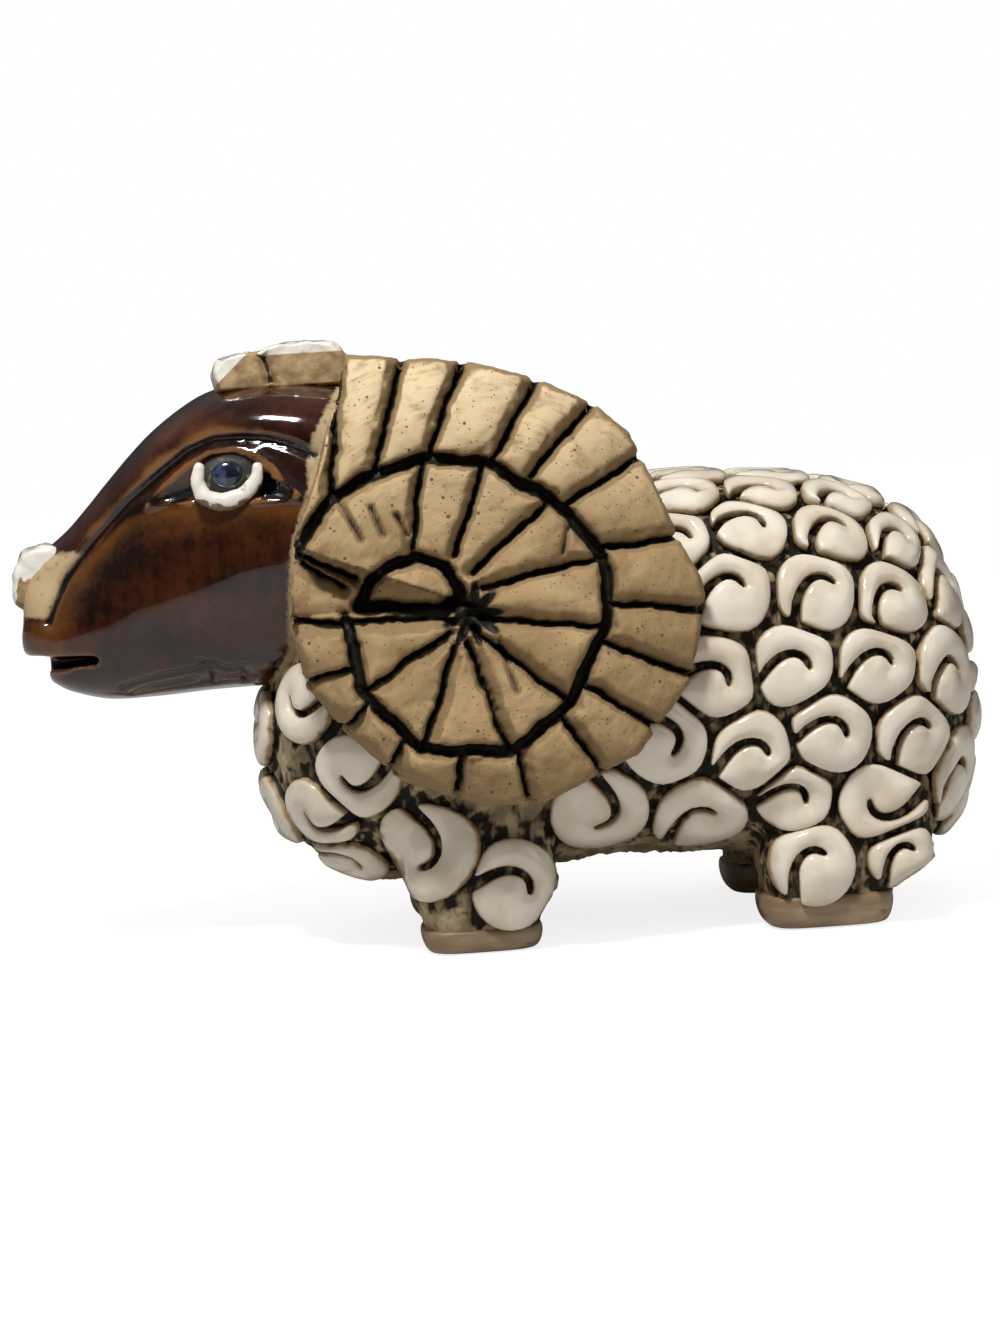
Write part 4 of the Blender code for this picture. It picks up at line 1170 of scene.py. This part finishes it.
noise.seed_set(WANDER_SEED)
rim = [polar(*point) for point in OUTER_RIM + ROOT_RIM]
for name, side in (("near_horn", 1.0), ("far_horn", -1.0)):
    rings = [
        [horn_point(point * scale, depth, side) for point in rim]
        for scale, depth in ((1.005, 0.0), (1.022, 0.6 * MM), (1.015, HORN_DEPTH))
    ]
    horn = reworked(ring_object(name, rings), HORN_GRAIN, 3)
    points = places(horn.data)
    facing = directions(horn.data)
    flat = (points[:, (0, 2)] - np.array((HORN_X, HORN_Z))) / MM
    depth = side * points[:, 1] * math.cos(HORN_LEAN) + HORN_SPAN / 2.0 * math.cos(HORN_LEAN) ** 2
    depth = (depth - (points[:, 2] - HORN_Z) * math.sin(HORN_LEAN)) / MM
    drift = np.array([
        0.4 * noise.noise_vector(Vector(point) / (3.5 * MM))
        + 0.22 * noise.noise_vector(Vector(point) / (1.1 * MM)) for point in points
    ])
    cuts, blackened, nearest = carving(flat + drift[:, (0, 2)], cross_cuts, along_cuts)
    slips = sum(near_line(flat, in_mm(slip), SLIP_HALF) for slip in TOOL_SLIPS)
    away = np.hypot(flat[:, 0], flat[:, 1]) * MM / HORN_RADIUS
    turns = np.degrees(np.arctan2(flat[:, 1], flat[:, 0]))
    outer = np.array([rim_share(OUTER_RIM, turn) for turn in turns])
    inner = np.array([rim_share(INNER_RIM, turn) for turn in turns])
    fall = HORN_ROLL / MM * np.clip((away - inner) / (outer - inner), 0.0, 1.2) ** 1.8
    fall += np.where(away < inner, -0.4, 1.0) * HORN_DOME / MM * away ** 2
    right, up = (flat - np.array(PIT)).T
    spokes = PIT_REACH + PIT_SPOKE * np.cos(PIT_SPOKES * np.arctan2(up, right))
    pit = unit(1.0 - np.hypot(right, up) / spokes)
    front = unit(1.0 - (depth - 0.8) / FRONT_REACH)
    wall = unit(1.0 - np.abs(facing[:, 1]) * 1.6)
    notch = NOTCH_DEPTH * unit((CUT_HALF + 0.2 - nearest) / 0.5) * wall * (away > 0.8 * outer)
    bumps = lumps(horn.data, 4.0 * MM, 5) * 0.3 + lumps(horn.data, 1.2 * MM, 3) * 0.1
    points += facing * (bumps - notch)[:, None] * MM
    points[:, 1] += side * (cuts + fall + slips * SLIP_DEPTH + pit * PIT_DEPTH) * front * MM
    set_places(horn.data, points)
    blackened = np.maximum(np.maximum(blackened, 1.5 * pit) * front, 0.3 * notch)
    keep(horn.data, "sunk", blackened + slips * 0.3)
    keep(horn.data, "sideways", 1.0 + directions(horn.data)[:, 1] * side)
    add_piece(horn, fired_clay)

# A low block of clay crosses the crown between the horns, with one cut across it, and a pad of
# clay caps the muzzle. Both are bare at the sides, with white glaze poured over the top.

# The side outline of the pad in mm, as X back from the muzzle's tip and Z
NOSE_PATCH = (
    (3.0, 45.5), (0.0, 47.0), (0.0, 51.0), (1.4, 54.0), (4.0, 54.8), (6.4, 54.0), (7.8, 52.2), (5.0, 47.0),
)
NOSE_PATCH_WIDTH = 10.4 * MM
NOSE_PATCH_THICKNESS = 0.9 * MM
SLAB_GRAIN = 0.25 * MM
TOPKNOT_WIDTH = 19.0 * MM
# The side outline of the topknot and the cut between its two lumps, in mm as X, Z
TOPKNOT = (
    (-35.2, 72.8), (-35.6, 75.4), (-34.8, 77.0), (-32.4, 77.7), (-29.6, 77.8), (-27.0, 78.7), (-23.0, 79.0),
    (-19.4, 78.5), (-17.8, 76.8), (-17.2, 72.8),
)
TOPKNOT_CUT = ((-29.0, 78.0), (-28.4, 76.0), (-27.8, 73.0))
TOPKNOT_CUT_HALF = 0.6
TOPKNOT_CUT_DEPTH = 1.1


def slab_rings(outline, half_width, taper):
    """A side outline drawn through the middle, a little narrower at its two faces."""
    middle_x = sum(x for x, z in outline) / len(outline)
    middle_z = sum(z for x, z in outline) / len(outline)
    return [
        [
            (middle_x + (x - middle_x) * scale, share * half_width, middle_z + (z - middle_z) * scale)
            for x, z in outline
        ]
        for share, scale in ((-1.0, 1.0 - taper), (-0.82, 1.0), (0.82, 1.0), (1.0, 1.0 - taper))
    ]


dipped_clay = Finish("dipped_clay", Coat_Roughness=0.04)
patchy = dipped_clay.cloud(1.8 * MM, 5.0)
grit = dipped_clay.specks(0.6 * MM)
poured = (dipped_clay.attribute("poured") + (patchy - 0.5) * 0.5).above(0.4, 0.6)
sunk = dipped_clay.attribute("sunk")
wash = (sunk + (patchy - 0.5) * 0.5).above(0.1, 0.3)
clay = patchy.above(0.35, 0.7).mix(colour(0.4, 0.27, 0.13), colour(0.24, 0.15, 0.07))
clay = wash.mix(grit.above(0.08, 0.16).mix(colour(0.1, 0.07, 0.04), clay), BLACK_WASH)
dipped_clay.feed(
    Base_Color=poured.mix(clay, colour(0.78, 0.74, 0.66)), Roughness=0.7 - poured * 0.56,
    Coat_Weight=poured * 0.7,
)
dipped_clay.relief(patchy + grit * 0.4, 0.25, 0.2 * MM)

nose_outline = [(MUZZLE_X - NOSE_PATCH_THICKNESS + x * MM, z * MM) for x, z in NOSE_PATCH]
knot_outline = [(x * MM, z * MM) for x, z in TOPKNOT]
slabs = (
    ("nose_patch", nose_outline, NOSE_PATCH_WIDTH / 2.0, 0.16),
    ("topknot", knot_outline, TOPKNOT_WIDTH / 2.0, 0.1),
)
for name, outline, half_width, taper in slabs:
    slab = reworked(ring_object(name, slab_rings(outline, half_width, taper)), SLAB_GRAIN, 6)
    flat = places(slab.data)[:, (0, 2)] / MM
    sides = np.abs(directions(slab.data)[:, 1])
    cut = near_line(flat, TOPKNOT_CUT, TOPKNOT_CUT_HALF) * sides
    move_out(slab.data, (lumps(slab.data, 3.0 * MM, 4) * 0.35 - cut * TOPKNOT_CUT_DEPTH) * MM)
    keep(slab.data, "sunk", hollow(slab.data, 16))
    facing = directions(slab.data)
    x, y, z = places(slab.data).T / MM
    if name == "topknot":
        over_top = np.where(x > -29.3, (z - 77.3) / 0.8, -1.0)
        poured = np.maximum(1.1 * (z - 73.9) - 34.9 - x, over_top) + 0.5
    else:
        poured = (z - 49.0) / 1.6 + 0.5 - 0.8 * np.abs(facing[:, 1]) ** 2 - 1.6 * facing[:, 0]
    keep(slab.data, "poured", unit(poured))
    add_piece(slab, dipped_clay)

# A pale table in a white studio, lit by a small key lamp above and in front and by a broad fill
# lamp from behind the ram. The camera sees the studio white, and the glazes mirror a dimmer room.
FLOOR_SIZE = 3.0
FLOOR_FRONT = 0.3
FLOOR_DROP = 0.05 * MM
LIGHT_TARGET = Vector((0.0, 0.0, 0.04))
# Each lamp: its name, its place, its width and its power in watts
LAMPS = (
    ("key_lamp", (-0.08, -0.2, 0.35), 0.06, 1.35),
    ("fill_lamp", (0.65, -0.6, 0.45), 0.5, 0.6),
)

bm = bmesh.new()
bmesh.ops.create_grid(bm, x_segments=1, y_segments=1, size=FLOOR_SIZE)
floor = shaped("floor", bm)
floor.location = (0.0, FLOOR_SIZE - FLOOR_FRONT, -FLOOR_DROP)
pale = Finish("pale_table", Roughness=0.9, Emission_Strength=0.82)
pale.shader.inputs["Base Color"].default_value = colour(0.58, 0.57, 0.56)
seen = pale.node("ShaderNodeLightPath", {}, {}, "Is Camera Ray")
pale.feed(Emission_Color=seen.mix(colour(0.0, 0.0, 0.0), colour(1.0, 1.0, 1.0)))
floor.data.materials.append(pale.material)

world = bpy.data.worlds.new("studio")
bpy.context.scene.world = world
world.use_nodes = True
tree = world.node_tree
background = tree.nodes["Background"]
seen = add_node(tree, "ShaderNodeLightPath", {}, {}, "Is Camera Ray")
ray = add_node(tree, "ShaderNodeTexCoord", {}, {}, "Generated")
height = add_node(tree, "ShaderNodeSeparateXYZ", {}, {"Vector": ray}, "Z")
mirrored = add_node(tree, "ShaderNodeLightPath", {}, {}, "Is Glossy Ray")
sky = height.above(-0.1, 0.9).mix(colour(0.21, 0.2, 0.19), colour(0.4, 0.39, 0.38))
room = height.above(0.05, 0.8).mix(colour(0.035, 0.032, 0.03), colour(0.17, 0.17, 0.18))
sky = mirrored.mix(sky, room)
lit = seen.mix(sky, colour(1.0, 1.0, 1.0))
tree.links.new(lit.socket, background.inputs["Color"])
background.inputs["Strength"].default_value = 1.0

for name, spot, width, power in LAMPS:
    light = bpy.data.lights.new(name, "AREA")
    light.shape = "SQUARE"
    light.size = width
    light.energy = power
    lamp = bpy.data.objects.new(name, light)
    turn = (LIGHT_TARGET - Vector(spot)).to_track_quat("-Z", "Y").to_matrix().to_4x4()
    lamp.matrix_world = Matrix.Translation(spot) @ turn
    bpy.context.scene.collection.objects.link(lamp)

bpy.context.scene.view_settings.view_transform = "Standard"
